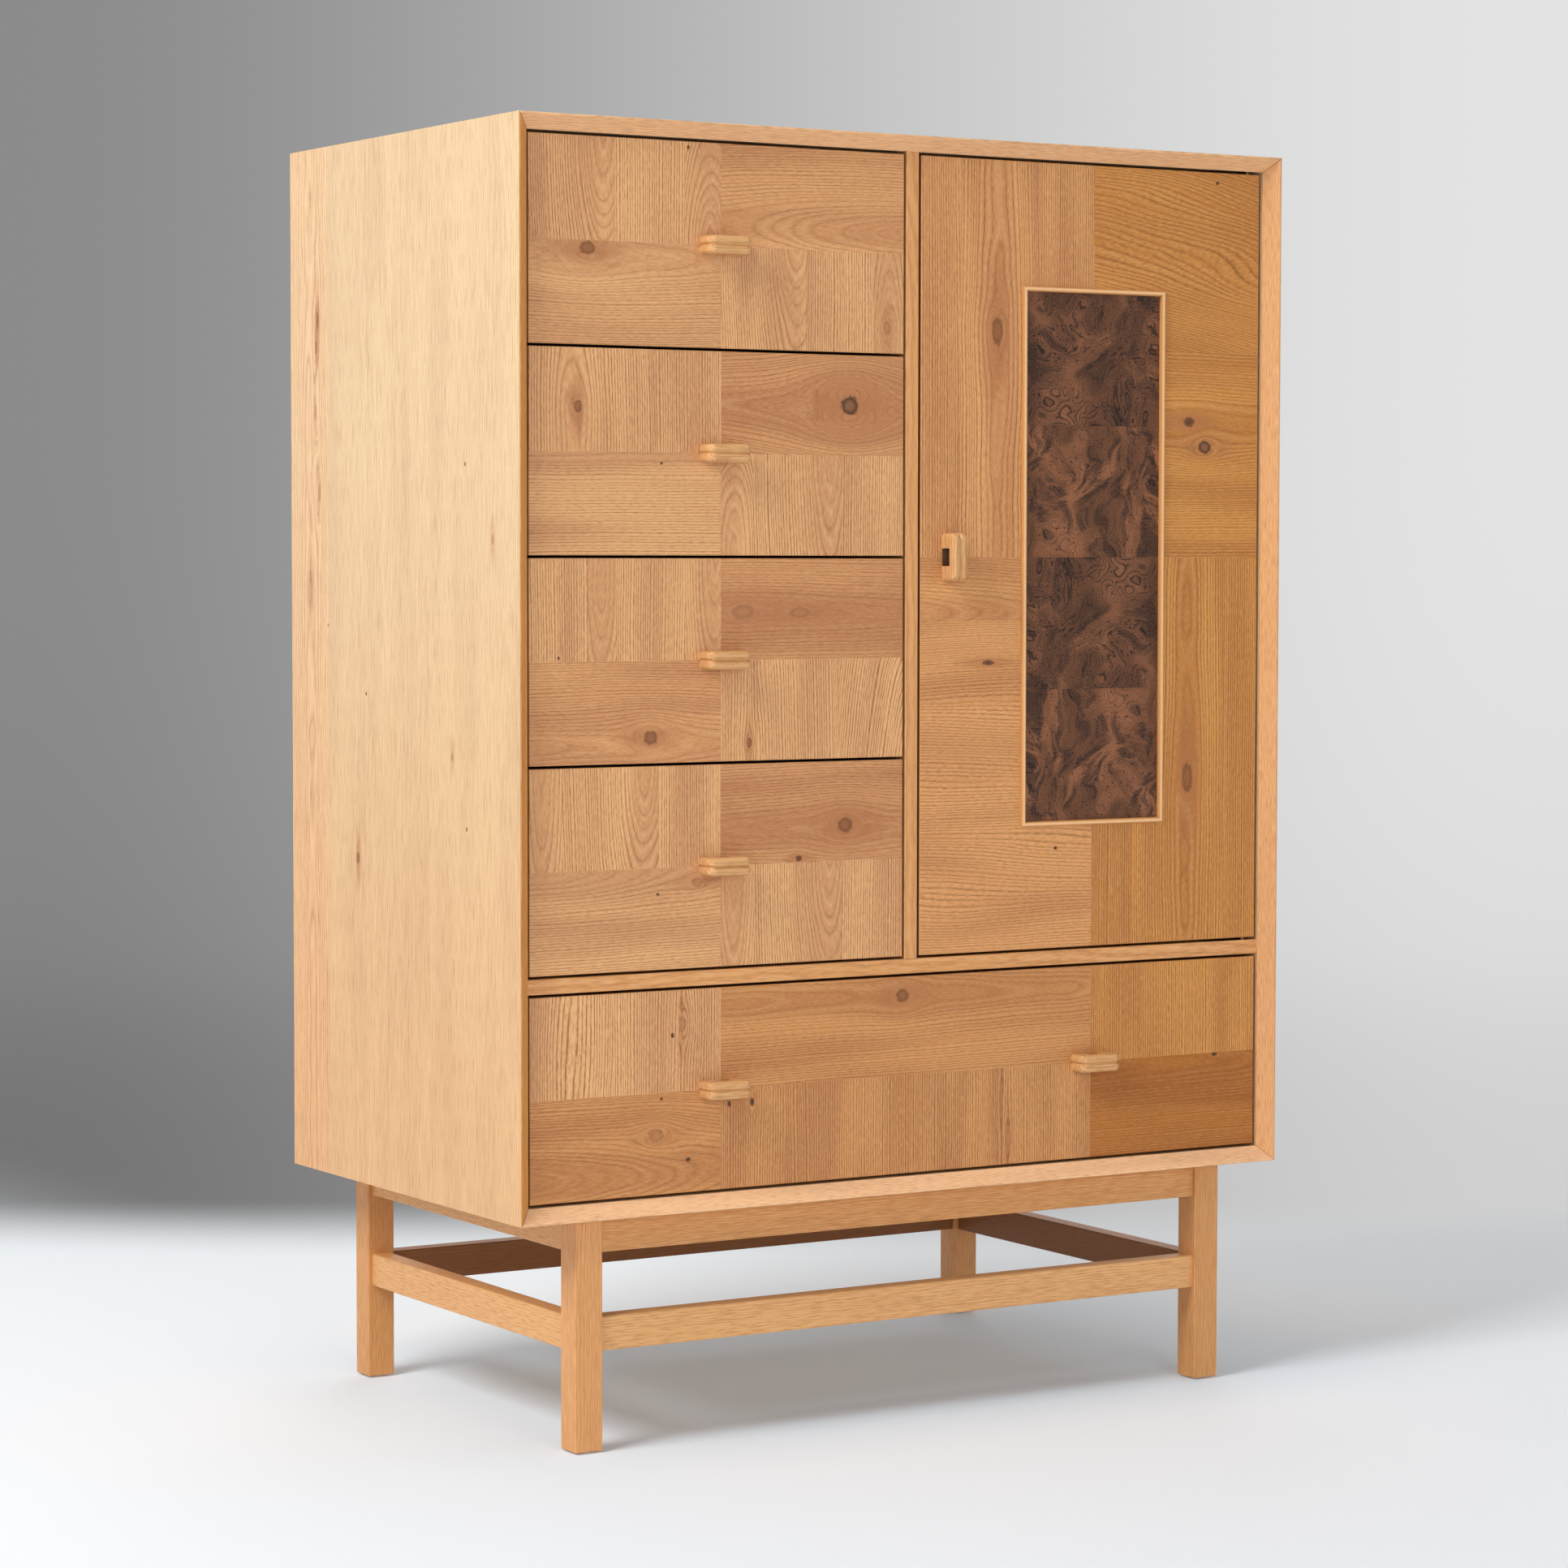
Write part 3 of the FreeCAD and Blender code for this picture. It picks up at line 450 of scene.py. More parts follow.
frontVeneers = {
    "drawer_1_front": {
        "leaves": [
            leaf((0.0, 0.22, 0.5, 1.0), "upright", 1.3, "honey", 88, 26, -0.2),
            leaf((0.22, 0.405, 0.5, 1.0), "upright", 2.9, "honey", -150, 10, 0.0),
            leaf((0.405, 0.5, 0.5, 1.0), "upright", 4.1, "honey", 30, 2, 0.25),
            leaf((0.5, 1.0, 0.5, 1.0), "level", 5.7, "rosy", 22, 32, -0.13, 0.15),
            leaf((0.0, 0.5, 0.0, 0.5), "level", 7.2, "tan", 92, 3, 0.06, 0.1),
            leaf((0.5, 0.73, 0.0, 0.5), "upright", 8.8, "honey", 94, 26, -0.2),
            leaf((0.73, 0.915, 0.0, 0.5), "upright", 9.6, "honey", -150, 10, 0.0),
            leaf((0.915, 1.0, 0.0, 0.5), "upright", 10.2, "honey", 20, 2, 0.1),
        ],
        "knots": [
            knot(68, 98, 6.5, "tight", 20, 1.3),
            knot(431, 27, 4.0, "faint", 9, 1.6),
            knot(187, 206, 1.6),
        ],
    },
    "drawer_2_front": {
        "leaves": [
            leaf((0.0, 0.31, 0.5, 1.0), "upright", 11.3, "honey", 52, 14, 0.05),
            leaf((0.31, 0.5, 0.5, 1.0), "upright", 12.7, "honey", -120, 10, 0.02),
            leaf((0.5, 1.0, 0.5, 1.0), "level", 13.1, "rust", 50, 14, -0.08, 0.2),
            leaf((0.0, 0.5, 0.0, 0.5), "level", 14.9, "tan", 112, 8, 0.04),
            leaf((0.5, 0.587, 0.0, 0.5), "upright", 15.2, "honey", 14, 2, -0.3),
            leaf((0.587, 0.83, 0.0, 0.5), "upright", 16.4, "honey", 92, 20, -0.18),
            leaf((0.83, 1.0, 0.0, 0.5), "upright", 17.8, "honey", -120, 10, 0.0),
        ],
        "knots": [
            knot(50, 157, 2.2, "faint", 5, 1.8),
            knot(57, 152, 4.2, "tight", 9, 1.5),
            knot(384.5, 158.6, 9.0, "loose", 32, 1.1),
            knot(155, 95, 1.3),
        ],
    },
    "drawer_3_front": {
        "leaves": [
            leaf((0.0, 0.15, 0.5, 1.0), "upright", 21.3, "honey", -100, 12, 0.0),
            leaf((0.15, 0.225, 0.5, 1.0), "upright", 22.1, "honey", 14, 16, -0.2),
            leaf((0.225, 0.405, 0.5, 1.0), "upright", 23.9, "honey", -130, 10, 0.0),
            leaf((0.405, 0.5, 0.5, 1.0), "upright", 24.2, "honey", 34, 18, -0.15),
            leaf((0.5, 1.0, 0.5, 1.0), "level", 25.6, "rust", 48, 8, 0.02, 0.62),
            leaf((0.0, 0.5, 0.0, 0.5), "level", 26.7, "rosy", 20, 10, 0.05, 0.1),
            leaf((0.5, 0.6, 0.0, 0.5), "upright", 27.4, "honey", -80, 8, 0.02),
            leaf((0.6, 0.82, 0.0, 0.5), "upright", 28.9, "honey", -40, 30, 0.1),
            leaf((0.82, 1.0, 0.0, 0.5), "upright", 29.5, "honey", 130, 30, 0.3),
        ],
        "knots": [
            knot(142, 26.6, 6.5, "tight", 15, 1.1),
            knot(260.7, 19, 2.8, "tight", 5, 1.8),
            knot(253, 156, 7.0, "faint", 8, 1.8),
            knot(323, 155, 5.0, "faint", 6, 2.4),
            knot(34, 110, 1.3),
        ],
    },
    "drawer_4_front": {
        "leaves": [
            leaf((0.0, 0.085, 0.5, 1.0), "upright", 31.4, "honey", 16, 12, -0.12),
            leaf((0.085, 0.335, 0.5, 1.0), "upright", 32.8, "honey", 98, 24, -0.2),
            leaf((0.335, 0.5, 0.5, 1.0), "upright", 33.3, "honey", -120, 8, 0.0),
            leaf((0.5, 1.0, 0.5, 1.0), "level", 34.6, "rust", 34, 10, -0.06, 0.2),
            leaf((0.0, 0.5, 0.0, 0.5), "level", 35.9, "tan", 104, 12, 0.08, 0.25),
            leaf((0.5, 0.59, 0.0, 0.5), "upright", 36.1, "honey", 16, 14, -0.15),
            leaf((0.59, 0.83, 0.0, 0.5), "upright", 37.7, "honey", 94, 24, -0.2),
            leaf((0.83, 1.0, 0.0, 0.5), "upright", 38.2, "honey", -120, 10, 0.0),
        ],
        "knots": [
            knot(379.5, 144, 7.5, "tight", 15, 1.1),
            knot(322, 110.2, 3.0, "dark", 5, 1.2),
            knot(197.7, 89, 4.0, "faint", 6, 1.5),
            knot(150.5, 78.8, 1.3),
        ],
    },
    "wide_drawer_front": {
        "leaves": [
            leaf((0.0, 0.105, 0.5, 1.0), "upright", 41.6, "honey", 150, 22, 0.1),
            leaf((0.105, 0.19, 0.5, 1.0), "upright", 42.3, "honey", 112, 20, 0.03),
            leaf((0.19, 0.244, 0.5, 1.0), "upright", 43.7, "honey", 84, 10, -0.05),
            leaf((0.244, 0.756, 0.5, 1.0), "level", 44.1, "toast", 86, 10, 0.03, 0.2),
            leaf((0.756, 1.0, 0.5, 1.0), "upright", 45.8, "amber", -150, 10, 0.0),
            leaf((0.0, 0.244, 0.0, 0.5), "level", 46.5, "toast", 24, 14, 0.12),
            leaf((0.244, 0.33, 0.0, 0.5), "upright", 47.2, "toast", -120, 10, 0.0),
            leaf((0.33, 0.5, 0.0, 0.5), "upright", 48.9, "toast", -90, 8, 0.02),
            leaf((0.5, 0.63, 0.0, 0.5), "upright", 49.4, "toast", -140, 12, 0.0),
            leaf((0.63, 0.756, 0.0, 0.5), "upright", 50.3, "toast", -110, 10, 0.01),
            leaf((0.756, 1.0, 0.0, 0.5), "level", 51.7, "umber", 95, 8, 0.05, 0.15),
        ],
        "knots": [
            knot(453, 192.8, 6.5, "tight", 14, 1.1),
            knot(168, 165.6, 2.0),
            knot(179, 177, 5.0, "faint", 9, 1.6),
            knot(149, 61.5, 6.0, "faint", 12, 1.3),
            knot(187, 34.6, 2.2),
            knot(154.8, 100.2, 1.4),
            knot(236.8, 89.7, 1.9, "pin", 0, 1.6),
            knot(264.8, 90, 2.4, "pin", 4, 1.5),
            knot(871.7, 104.9, 2.4, "pin", 4, 1.6),
            knot(583.4, 72.5, 2.4, "faint", 4, 5.0),
            knot(591, 28, 3.0, "faint", 4, 4.0),
            bend(50, 150, 28, 2.4),
        ],
    },
    "door_panel": {
        "leaves": [
            leaf((0.0, 0.11, 0.5, 1.0), "upright", 61.4, "wheat", -90, 8, 0.0),
            leaf((0.11, 0.34, 0.5, 1.0), "upright", 62.9, "wheat", 49, 16, 0.01),
            leaf((0.34, 0.5, 0.5, 1.0), "upright", 63.2, "wheat", -120, 8, 0.0),
            # The right half's amber leaves are darker partly by their own veneer and partly as painted
            # shade, where the light falls off to the right
            leaf((0.5, 1.0, 0.767, 1.0), "level", 64.8, "amber", -140, 60, 0.35),
            leaf((0.5, 1.0, 0.5, 0.767), "level", 65.3, "amber", 150, 20, 0.03, 0.1),
            leaf((0.0, 0.5, 0.42, 0.5), "level", 66.7, "wheat", 10, 12, 0.1),
            leaf((0.0, 0.5, 0.0, 0.42), "level", 67.1, "wheat", -40, 20, 0.1),
            leaf((0.5, 0.62, 0.0, 0.5), "upright", 68.6, "amber", -120, 8, 0.0),
            leaf((0.62, 0.9, 0.0, 0.5), "upright", 69.9, "amber", 76, 16, 0.01),
            leaf((0.9, 1.0, 0.0, 0.5), "upright", 70.2, "amber", -120, 8, 0.0),
        ],
        "knots": [
            knot(98.5, 672.7, 6.5, "tight", 14, 2.2),
            knot(356.4, 579.3, 5.0, "dark", 9, 1.4),
            knot(378, 551.6, 6.5, "loose", 13, 1.2),
            knot(393.7, 845.2, 1.8),
            knot(88, 314.4, 2.8, "dark", 4, 2.6),
            knot(177.5, 109.8, 1.8),
            knot(356.7, 182.8, 6.5, "tight", 14, 2.4),
            bend(238, 770, 40, 2.2),
            bend(438, 748, 36, 2.0),
            bend(320, 826, 30, 3.0),
            bend(140, 270, 36, 2.4),
            bend(38, 60, 40, 2.0),
            bend(40, 190, 34, 3.0),
            bend(190, 120, 30, 3.0),
        ],
    },
}
for front, spec in frontVeneers.items():
    checkerFront(front, spec["leaves"], spec["knots"])
print("checker veneer laid on", len(frontVeneers), "fronts")

# Case: veneered boards with solid bevelled lips along the front
caseFigure = dict(veneerFigure, ring=2.5 * mm, drift=9 * mm)
caseFigure.update(lines=0.44, flecks=0.34, gleams=0.4, bands=0.24, fleckWidth=1400.0, fleckLength=30.0)
caseFigure.update(rough=0.48, bump=0.2)
lipFigure = dict(veneerFigure, ring=1.7 * mm, lines=0.16, flecks=0.3, gleams=0.4, bands=0.3)
lipFigure.update(fleckWidth=1500.0, fleckLength=70.0)
caseLip = {
    "depth": 15.9 * mm,
    "outerSkin": 0.5 * mm,
    "mitreLine": 0.6 * mm,
    "mitreInk": 0.6,
    "seedStep": 30.0,
}
caseBox = {
    "left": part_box("case_left_side")[0][0],
    "right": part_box("case_right_side")[1][0],
    "low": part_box("case_bottom")[0][2],
    "high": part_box("case_top")[1][2],
}
sideKnots = [
    knot(475.5, 942, 2.8, "tight", 7, 3.0),
    knot(479, 912, 1.6, "tight", 5, 4.0),
    knot(482, 842, 2.0, "faint", 8, 3.5),
    knot(473, 752, 2.0, "faint", 8, 4.0),
    knot(496, 660, 2.4, "faint", 8, 3.0),
    knot(452, 607, 1.6),
    knot(356, 534, 1.6),
    knot(120, 778, 1.6),
    knot(118.5, 400, 1.6),
    knot(151, 474, 2.4, "faint", 4, 1.6),
    knot(58.6, 700, 2.6, "faint", 5, 1.8),
    knot(378, 355, 3.6, "tight", 7, 1.6),
]
caseFloorShade = {"tone": "FFEDDD", "full": 0.2, "none": 1.15}  # painted shade: darker and warmer towards the floor, by height in metres
sideSeams = (0.0, 0.182, 0.374, 0.56, 0.7, 0.83, 1.0)
topSeams = (0.0, 0.2, 0.41, 0.6, 0.81, 1.0)
strip = {"seedStep": 1.7, "piths": (-120, -160, -200), "depth": 12, "rise": 0.01}


def stripLeaves(seams, grain, seed, tone):
    leaves = []
    for count, (low, high) in enumerate(zip(seams, seams[1:])):
        box = (low, high, 0.0, 1.0) if grain == "upright" else (0.0, 1.0, low, high)
        pith = strip["piths"][count % len(strip["piths"])]
        ownSeed = seed + count * strip["seedStep"]
        leaves.append(leaf(box, grain, ownSeed, tone, pith, strip["depth"], strip["rise"]))
    return leaves


def caseBoard(name, plane, outside, axis, lipTone, leaves, knots):
    bench = Bench(name + "_oak")
    x, y, z = bench.place()
    box = [Vector(corner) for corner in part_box(name)]
    spot = {"x": (x, box[0].x, box[1].x), "y": (y, box[0].y, box[1].y), "z": (z, box[0].z, box[1].z)}
    (p, pLow, pHigh), (q, qLow, qHigh) = spot[plane[0]], spot[plane[1]]
    size = (pHigh - pLow, qHigh - qLow)
    color, height = veneerSheet(bench, p - pLow, q - qLow, size, leaves, knots, caseFigure)
    # painted shade: the case darkens towards the floor, and its top stays paler as under the light
    floorShade = 1.0 - bench.step(z, caseFloorShade["full"], caseFloorShade["none"])
    color = bench.blend(floorShade, color, tint(caseFloorShade["tone"]), "MULTIPLY")
    through, low, high = spot[outside[1]]
    if outside[0] == "-":
        lean, inner = fiberLean, through > low + caseLip["outerSkin"]
    else:  # the bevel slopes the other way, and so do its flecks
        lean, inner = -fiberLean, through < high - caseLip["outerSkin"]
    lipSeed = leaves[0]["seed"] + caseLip["seedStep"]
    lipColor = solidGrain(bench, box, axis, lipSeed, lipTone, lipFigure, lean)[0]
    lip = inner * (y < box[0].y + caseLip["depth"])
    color = bench.blend(lip, color, lipColor)
    aside = (x - caseBox["left"]).calc("MINIMUM", caseBox["right"] - x)
    upright = (z - caseBox["low"]).calc("MINIMUM", caseBox["high"] - z)
    mitre = ((aside - upright).calc("ABSOLUTE") < caseLip["mitreLine"]) * lip
    color = bench.blend(mitre * caseLip["mitreInk"], color, tint(oakMarks["pore"]))
    dress(bench.finish(color, caseFigure["rough"], height, caseFigure["bump"], poreDepth), name)


leftLeaves = stripLeaves(sideSeams, "upright", 71.3, "blonde")
leftLeaves[-1].update(tone="blush", pith=40 * mm, depth=24 * mm, ink=1.4)
caseBoard("case_left_side", "yz", "-x", "z", "ochre", leftLeaves, sideKnots)
caseBoard("case_right_side", "yz", "+x", "z", "rosy", stripLeaves(sideSeams, "upright", 82.9, "blonde"), [])
caseBoard("case_top", "xy", "+z", "x", "cream", stripLeaves(topSeams, "level", 91.7, "blonde"), [])
caseBoard("case_bottom", "xy", "-z", "x", "milk", stripLeaves(topSeams, "level", 103.1, "blonde"), [])
solidOak("divider_oak", "horizontal_divider", "x", 111.3, "wheat")
solidOak("partition_oak", "vertical_partition", "z", 113.9, "wheat")

# Base, pulls, moulding and shelves in solid oak
# The darker toast tone goes on the pieces that sit in more shade: their oak's own tone, darkened as painted
# shade
solidPieces = {
    "leg_front_left": ("z", 121.3, "wheat"),
    "leg_front_right": ("z", 123.7, "toast"),
    "leg_back_left": ("z", 125.1, "toast"),
    "leg_back_right": ("z", 127.9, "wheat"),
    "front_apron": ("x", 131.3, "toast"),
    "back_apron": ("x", 133.7, "toast"),
    "left_apron": ("y", 135.1, "gold"),
    "right_apron": ("y", 137.9, "toast"),
    "front_stretcher": ("x", 141.3, "gold"),
    "back_stretcher": ("x", 143.7, "toast"),
    "left_stretcher": ("y", 145.1, "gold"),
    "right_stretcher": ("y", 147.9, "toast"),
    "adjustable_shelves": ("x", 151.3, "honey"),
}
# Painted shade: these inner faces, under the case, are painted darker
shadedInnerFaces = {"back_apron": "y", "back_stretcher": "y", "right_apron": "x", "right_stretcher": "x"}
for piece, (axis, seed, tone) in solidPieces.items():
    solidOak(piece + "_oak", piece, axis, seed, tone, shadedSide=shadedInnerFaces.get(piece))
pullFigure = dict(solidFigure, ring=3.4 * mm, lines=0.3, flecks=0.3, rough=0.4, bump=0.2)
pullSeeds = {"first": 161.0, "step": 2.3}


def pullOak(node, seed):
    bench = Bench(node + "_oak")
    x, y, z = bench.place()
    box = [Vector(corner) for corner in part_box(node)]
    axis = "z" if node == "door_pull" else "x"
    color, height = solidGrain(bench, box, axis, seed, "straw", pullFigure)
    # painted shade inside the finger notch, on the pull's faces behind the bar
    if node == "door_pull":
        shaded = paintNotchShade(bench, color, x, z)
        color = bench.blend(y > box[0].y + notchShade["bar"], color, shaded)
    dress(bench.finish(color, pullFigure["rough"], height, pullFigure["bump"], poreDepth), node)


for count, piece in enumerate(name for name in nodes if slotOf[name] == "oak_pull"):
    pullOak(piece, pullSeeds["first"] + pullSeeds["step"] * count)


# Bead round the inlay, with a painted highlight along its crown and painted shade on its flanks
bead = {
    "crownHighlightTone": "F8C48E",
    "flankShadeAndStreakTone": "C88C52",
    "rise": (1.0 * mm, 2.2 * mm),  # out from the inlay's edge
    "fall": (3.6 * mm, 5.2 * mm),
    "streaks": 300.0,  # in a metre
    "streakSeed": 7.0,
    "streakShare": 0.3,
    "rough": 0.38,
}


def beadOak(node, inlay):
    bench = Bench("moulding_oak")
    x, y, z = bench.place()
    low, high = [Vector(corner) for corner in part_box(inlay)]
    middle, half = (low + high) / 2, (high - low) / 2
    aside = (x - middle.x).calc("ABSOLUTE") - half.x
    above = (z - middle.z).calc("ABSOLUTE") - half.z
    away = aside.calc("MAXIMUM", above)
    # painted highlight along the crown; the flanks keep the darker tone as painted shade
    crownHighlight = bench.step(away, *bead["rise"]) * (1.0 - bench.step(away, *bead["fall"]))
    streak = bench.noise(x * bead["streaks"], z * bead["streaks"], bead["streakSeed"])
    color = bench.blend(crownHighlight, tint(bead["flankShadeAndStreakTone"]), tint(bead["crownHighlightTone"]))
    # the flank tone also serves as the colour of the grain streaks
    color = bench.blend(streak * bead["streakShare"], color, tint(bead["flankShadeAndStreakTone"]))
    dress(bench.finish(color, bead["rough"]), node)


beadOak("inlay_moulding", "burl_inlay")
print("case, base, pulls and moulding in oak")

# Burl inlay: four leaves, the lower pair the upper pair turned half round
burlFigure = {
    "leaves": 4,
    "contours": 52.0,
    "drift": 0.2,  # metres, how far the swirls carry the figure
    "curl": 0.8,  # how much the curls bend the contours
    "pool": 0.45,
    "slope": 0.45,  # shade between contours where the figure is busy
    "calmSlope": 0.1,
    "curlShade": 0.1,
    "calmLine": 0.45,
    "patch": 0.72,
    "patchLine": 0.4,
    "gritDark": 0.5,
    "gritLight": 0.3,
    "dots": 0.7,
    "lines": 0.8,
    "rough": 0.48,
}
burlTones = {"ground": "6C4329", "light": "96603F", "dark": "2C1B14", "line": "0D0705"}
# Noises of the burl: how often in a metre, across and along a leaf, then seed, detail and roughness
burlNoise = {
    "driftU": (9.0, 9.0, 2.0, 2.0, 0.5),
    "driftV": (9.0, 9.0, 7.0, 2.0, 0.5),
    "curl": (30.0, 30.0, 17.0, 2.0, 0.5),
    "field": (10.0, 10.0, 4.0, 2.0, 0.5),
    "busy": (17.0, 17.0, 31.0, 2.0, 0.5),
    "pool": (26.0, 26.0, 12.0, 2.0, 0.5),
    "streak": (64.0, 34.0, 21.0, 4.0, 0.62),
    "glow": (24.0, 20.0, 43.0, 3.0, 0.5),
    "grit": (560.0, 560.0, 5.0, 2.0, 0.5),
    "dots": (260.0, 260.0, 8.0, 0.0, 0.5),
}
burlSteps = {"busy": (0.34, 0.5), "line": (0.34, 0.47), "pool": (0.5, 0.66), "patch": (0.46, 0.6)}
burlSteps.update(glow=(0.42, 0.64), grit=(0.48, 0.7), paleGrit=(0.0, 0.2), dots=(0.7, 0.78))


def burlWave(bench, name, u, v, push=0.0):
    often, seldom, seed, detail, roughness = burlNoise[name]
    return bench.noise(u * often + push, v * seldom + push, seed, detail, roughness)


def burlVeneer(node):
    bench = Bench("walnut_burl")
    x, y, z = bench.place()
    low, high = [Vector(corner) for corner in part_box(node)]
    tile = (high.z - low.z) / burlFigure["leaves"]
    row = ((z - low.z) / tile).calc("FLOOR")
    turn = 1.0 - (row < burlFigure["leaves"] / 2 - 0.5) * 2.0
    u = (x - (low.x + high.x) / 2) * turn
    v = (z - low.z - (row + 0.5) * tile) * turn
    swirly = row.calc("MODULO", 2.0)
    swirlU = u + (burlWave(bench, "driftU", u, v) - 0.5) * burlFigure["drift"]
    swirlV = v + (burlWave(bench, "driftV", u, v) - 0.5) * burlFigure["drift"]
    curl = burlWave(bench, "curl", swirlU, swirlV)
    field = burlWave(bench, "field", swirlU, swirlV, curl * burlFigure["curl"])
    phase = (field * burlFigure["contours"]).calc("FRACT")
    busy = bench.step(burlWave(bench, "busy", u, v), *burlSteps["busy"])
    ridge = (phase - 0.5).calc("ABSOLUTE")
    line = bench.step(ridge, *burlSteps["line"]) * busy.atLeast(burlFigure["calmLine"])
    pool = bench.step(burlWave(bench, "pool", swirlU, swirlV), *burlSteps["pool"])
    slope = (1.0 - phase) * (busy * burlFigure["slope"] + burlFigure["calmSlope"])
    swirl = pool * burlFigure["pool"] + slope + curl * burlFigure["curlShade"]
    streak = bench.step(burlWave(bench, "streak", swirlU, swirlV, curl), *burlSteps["patch"])
    patch = streak * burlFigure["patch"] + line * busy * burlFigure["patchLine"]
    glow = bench.step(burlWave(bench, "glow", swirlU, swirlV), *burlSteps["glow"])
    grit = burlWave(bench, "grit", u, v)
    dots = bench.step(burlWave(bench, "dots", u, v), *burlSteps["dots"])
    darkGrit = bench.step(grit, *burlSteps["grit"]) * burlFigure["gritDark"]
    paleGrit = bench.step(0.5 - grit, *burlSteps["paleGrit"]) * burlFigure["gritLight"]
    color = bench.blend(glow, tint(burlTones["ground"]), tint(burlTones["light"]))
    color = bench.blend(patch * (1.0 - swirly) + swirl * swirly, color, tint(burlTones["dark"]))
    color = bench.blend(darkGrit, color, tint(burlTones["dark"]))
    color = bench.blend(paleGrit, color, tint(burlTones["light"]))
    color = bench.blend(dots * busy * burlFigure["dots"], color, tint(burlTones["line"]))
    color = bench.blend(line * swirly * burlFigure["lines"], color, tint(burlTones["line"]))
    dress(bench.finish(color, burlFigure["rough"]), node)


burlVeneer("burl_inlay")

# Woods inside: pale boards with soft streaks
insideWoods = {
    "drawer_box_wood": {"pale": "E3C79C", "dark": "CDA874", "across": "z", "along": "xy"},
    "drawer_bottom_ply": {"pale": "DFC59C", "dark": "C9A878", "across": "x", "along": "y"},
    "back_board": {"pale": "D9B88A", "dark": "BC925F", "across": "x", "along": "z"},
    "beech_hidden": {"pale": "D9AE80", "dark": "B98654", "across": "z", "along": "xy"},
}
# Noises of the streaks: how often in a metre, across and along the grain, and the seed
streakNoise = {"bend": (9.0, 2.0, 3.0), "broad": (70.0, 2.0, 5.0), "fine": (700.0, 26.0, 9.0)}
streaks = {"bend": 20 * mm, "broadShare": 0.5, "rough": 0.55, "bump": 0.08, "depth": 0.5 * mm}


def streakWave(bench, name, across, along):
    often, seldom, seed = streakNoise[name]
    return bench.noise(across * often, along * seldom, seed)


def streakedWood(slot, spec):
    bench = Bench(slot + "_look")
    spot = dict(zip("xyz", bench.place()))
    across = spot[spec["across"]]
    along = spot["x"] + spot["y"] if spec["along"] == "xy" else spot[spec["along"]]
    across = across + (streakWave(bench, "bend", across, along) - 0.5) * streaks["bend"]
    broad = streakWave(bench, "broad", across, along)
    fine = streakWave(bench, "fine", across, along)
    mixed = broad * streaks["broadShare"] + fine * (1.0 - streaks["broadShare"])
    color = bench.blend(mixed, tint(spec["pale"]), tint(spec["dark"]))
    dressSlot(bench.finish(color, streaks["rough"], fine, streaks["bump"], streaks["depth"]), slot)


for slot, spec in insideWoods.items():
    streakedWood(slot, spec)

# Metals and plastics
hardFinishes = {
    "slide_steel": {"tone": "B7BABD", "worn": "8E9296", "rough": 0.34, "metal": 1.0, "grain": (900, 60)},
    "screw_steel": {"tone": "B3B0A6", "worn": "8A867B", "rough": 0.36, "metal": 1.0, "grain": (300, 300)},
    "plated_steel": {"tone": "C4C6C8", "worn": "9DA0A3", "rough": 0.28, "metal": 1.0, "grain": (500, 200)},
    # The hinge brass is made dark, a painted shade, so that it stays dim in its gap above the door
    "hinge_brass": {"tone": "6E552C", "worn": "45351A", "rough": 0.32, "metal": 1.0, "grain": (500, 80)},
    "catch_plastic": {"tone": "6B4A30", "worn": "5A3D27", "rough": 0.5, "metal": 0.0, "grain": (250, 250)},
    "glide_nylon": {"tone": "CFC9BD", "worn": "A9A396", "rough": 0.55, "metal": 0.0, "grain": (200, 200)},
}
wearSteps = (0.4, 0.75)
roughSpread = 0.16


def hardFinish(slot, spec):
    bench = Bench(slot + "_look")
    x, y, z = bench.place()
    often, seldom = spec["grain"]
    wear = bench.noise((x + z) * often, (y + z) * seldom, z * often)
    color = bench.blend(bench.step(wear, *wearSteps), tint(spec["tone"]), tint(spec["worn"]))
    rough = wear * roughSpread + (spec["rough"] - roughSpread / 2)
    dressSlot(bench.finish(color, rough, metallic=spec["metal"]), slot)


for slot, spec in hardFinishes.items():
    hardFinish(slot, spec)
print("burl, inside woods and metals done")

# Camera, from the photograph's fitted viewpoint
cameraFit = {
    "spot": (-2.5060, -4.10935, 0.92525),  # metres, in the object's frame
    "yaw": 31.316,  # degrees to the right of straight on
    "pitch": 3.016,  # degrees downwards
    "roll": 0.074,
    "focal": 5280.65,  # pixels, in a picture 1932 wide
    "pictureWidth": 1932,
    "sensor": 36.0,  # millimetres
    "clipEnd": 60.0,
}


def setCamera(fit):
    data = bpy.data.cameras.new("photoCamera")
    data.sensor_width = fit["sensor"]
    data.lens = fit["focal"] / fit["pictureWidth"] * data.sensor_width
    data.clip_end = fit["clipEnd"]
    camera = bpy.data.objects.new("photoCamera", data)
    bpy.context.scene.collection.objects.link(camera)
    turn = Matrix.Rotation(math.radians(-fit["yaw"]), 4, "Z")
    tip = Matrix.Rotation(math.radians(90 - fit["pitch"]), 4, "X")
    lean = Matrix.Rotation(math.radians(fit["roll"]), 4, "Z")
    camera.matrix_world = Matrix.Translation(fit["spot"]) @ turn @ tip @ lean
    bpy.context.scene.camera = camera


setCamera(cameraFit)

# Studio: one sweep of pale floor and backdrop, and soft lights
studio = {
    "radius": 7.0,
    "cove": 2.0,
    "wallHeight": 6.0,
    "rings": (0.0, 1.5, 3.0),  # radii of the floor's inner rings
    "coveSteps": 8,
    "turnSteps": 64,
    "weld": 0.01 * mm,
    "facing": 31.3,  # degrees, which way the bright side of the backdrop looks
}
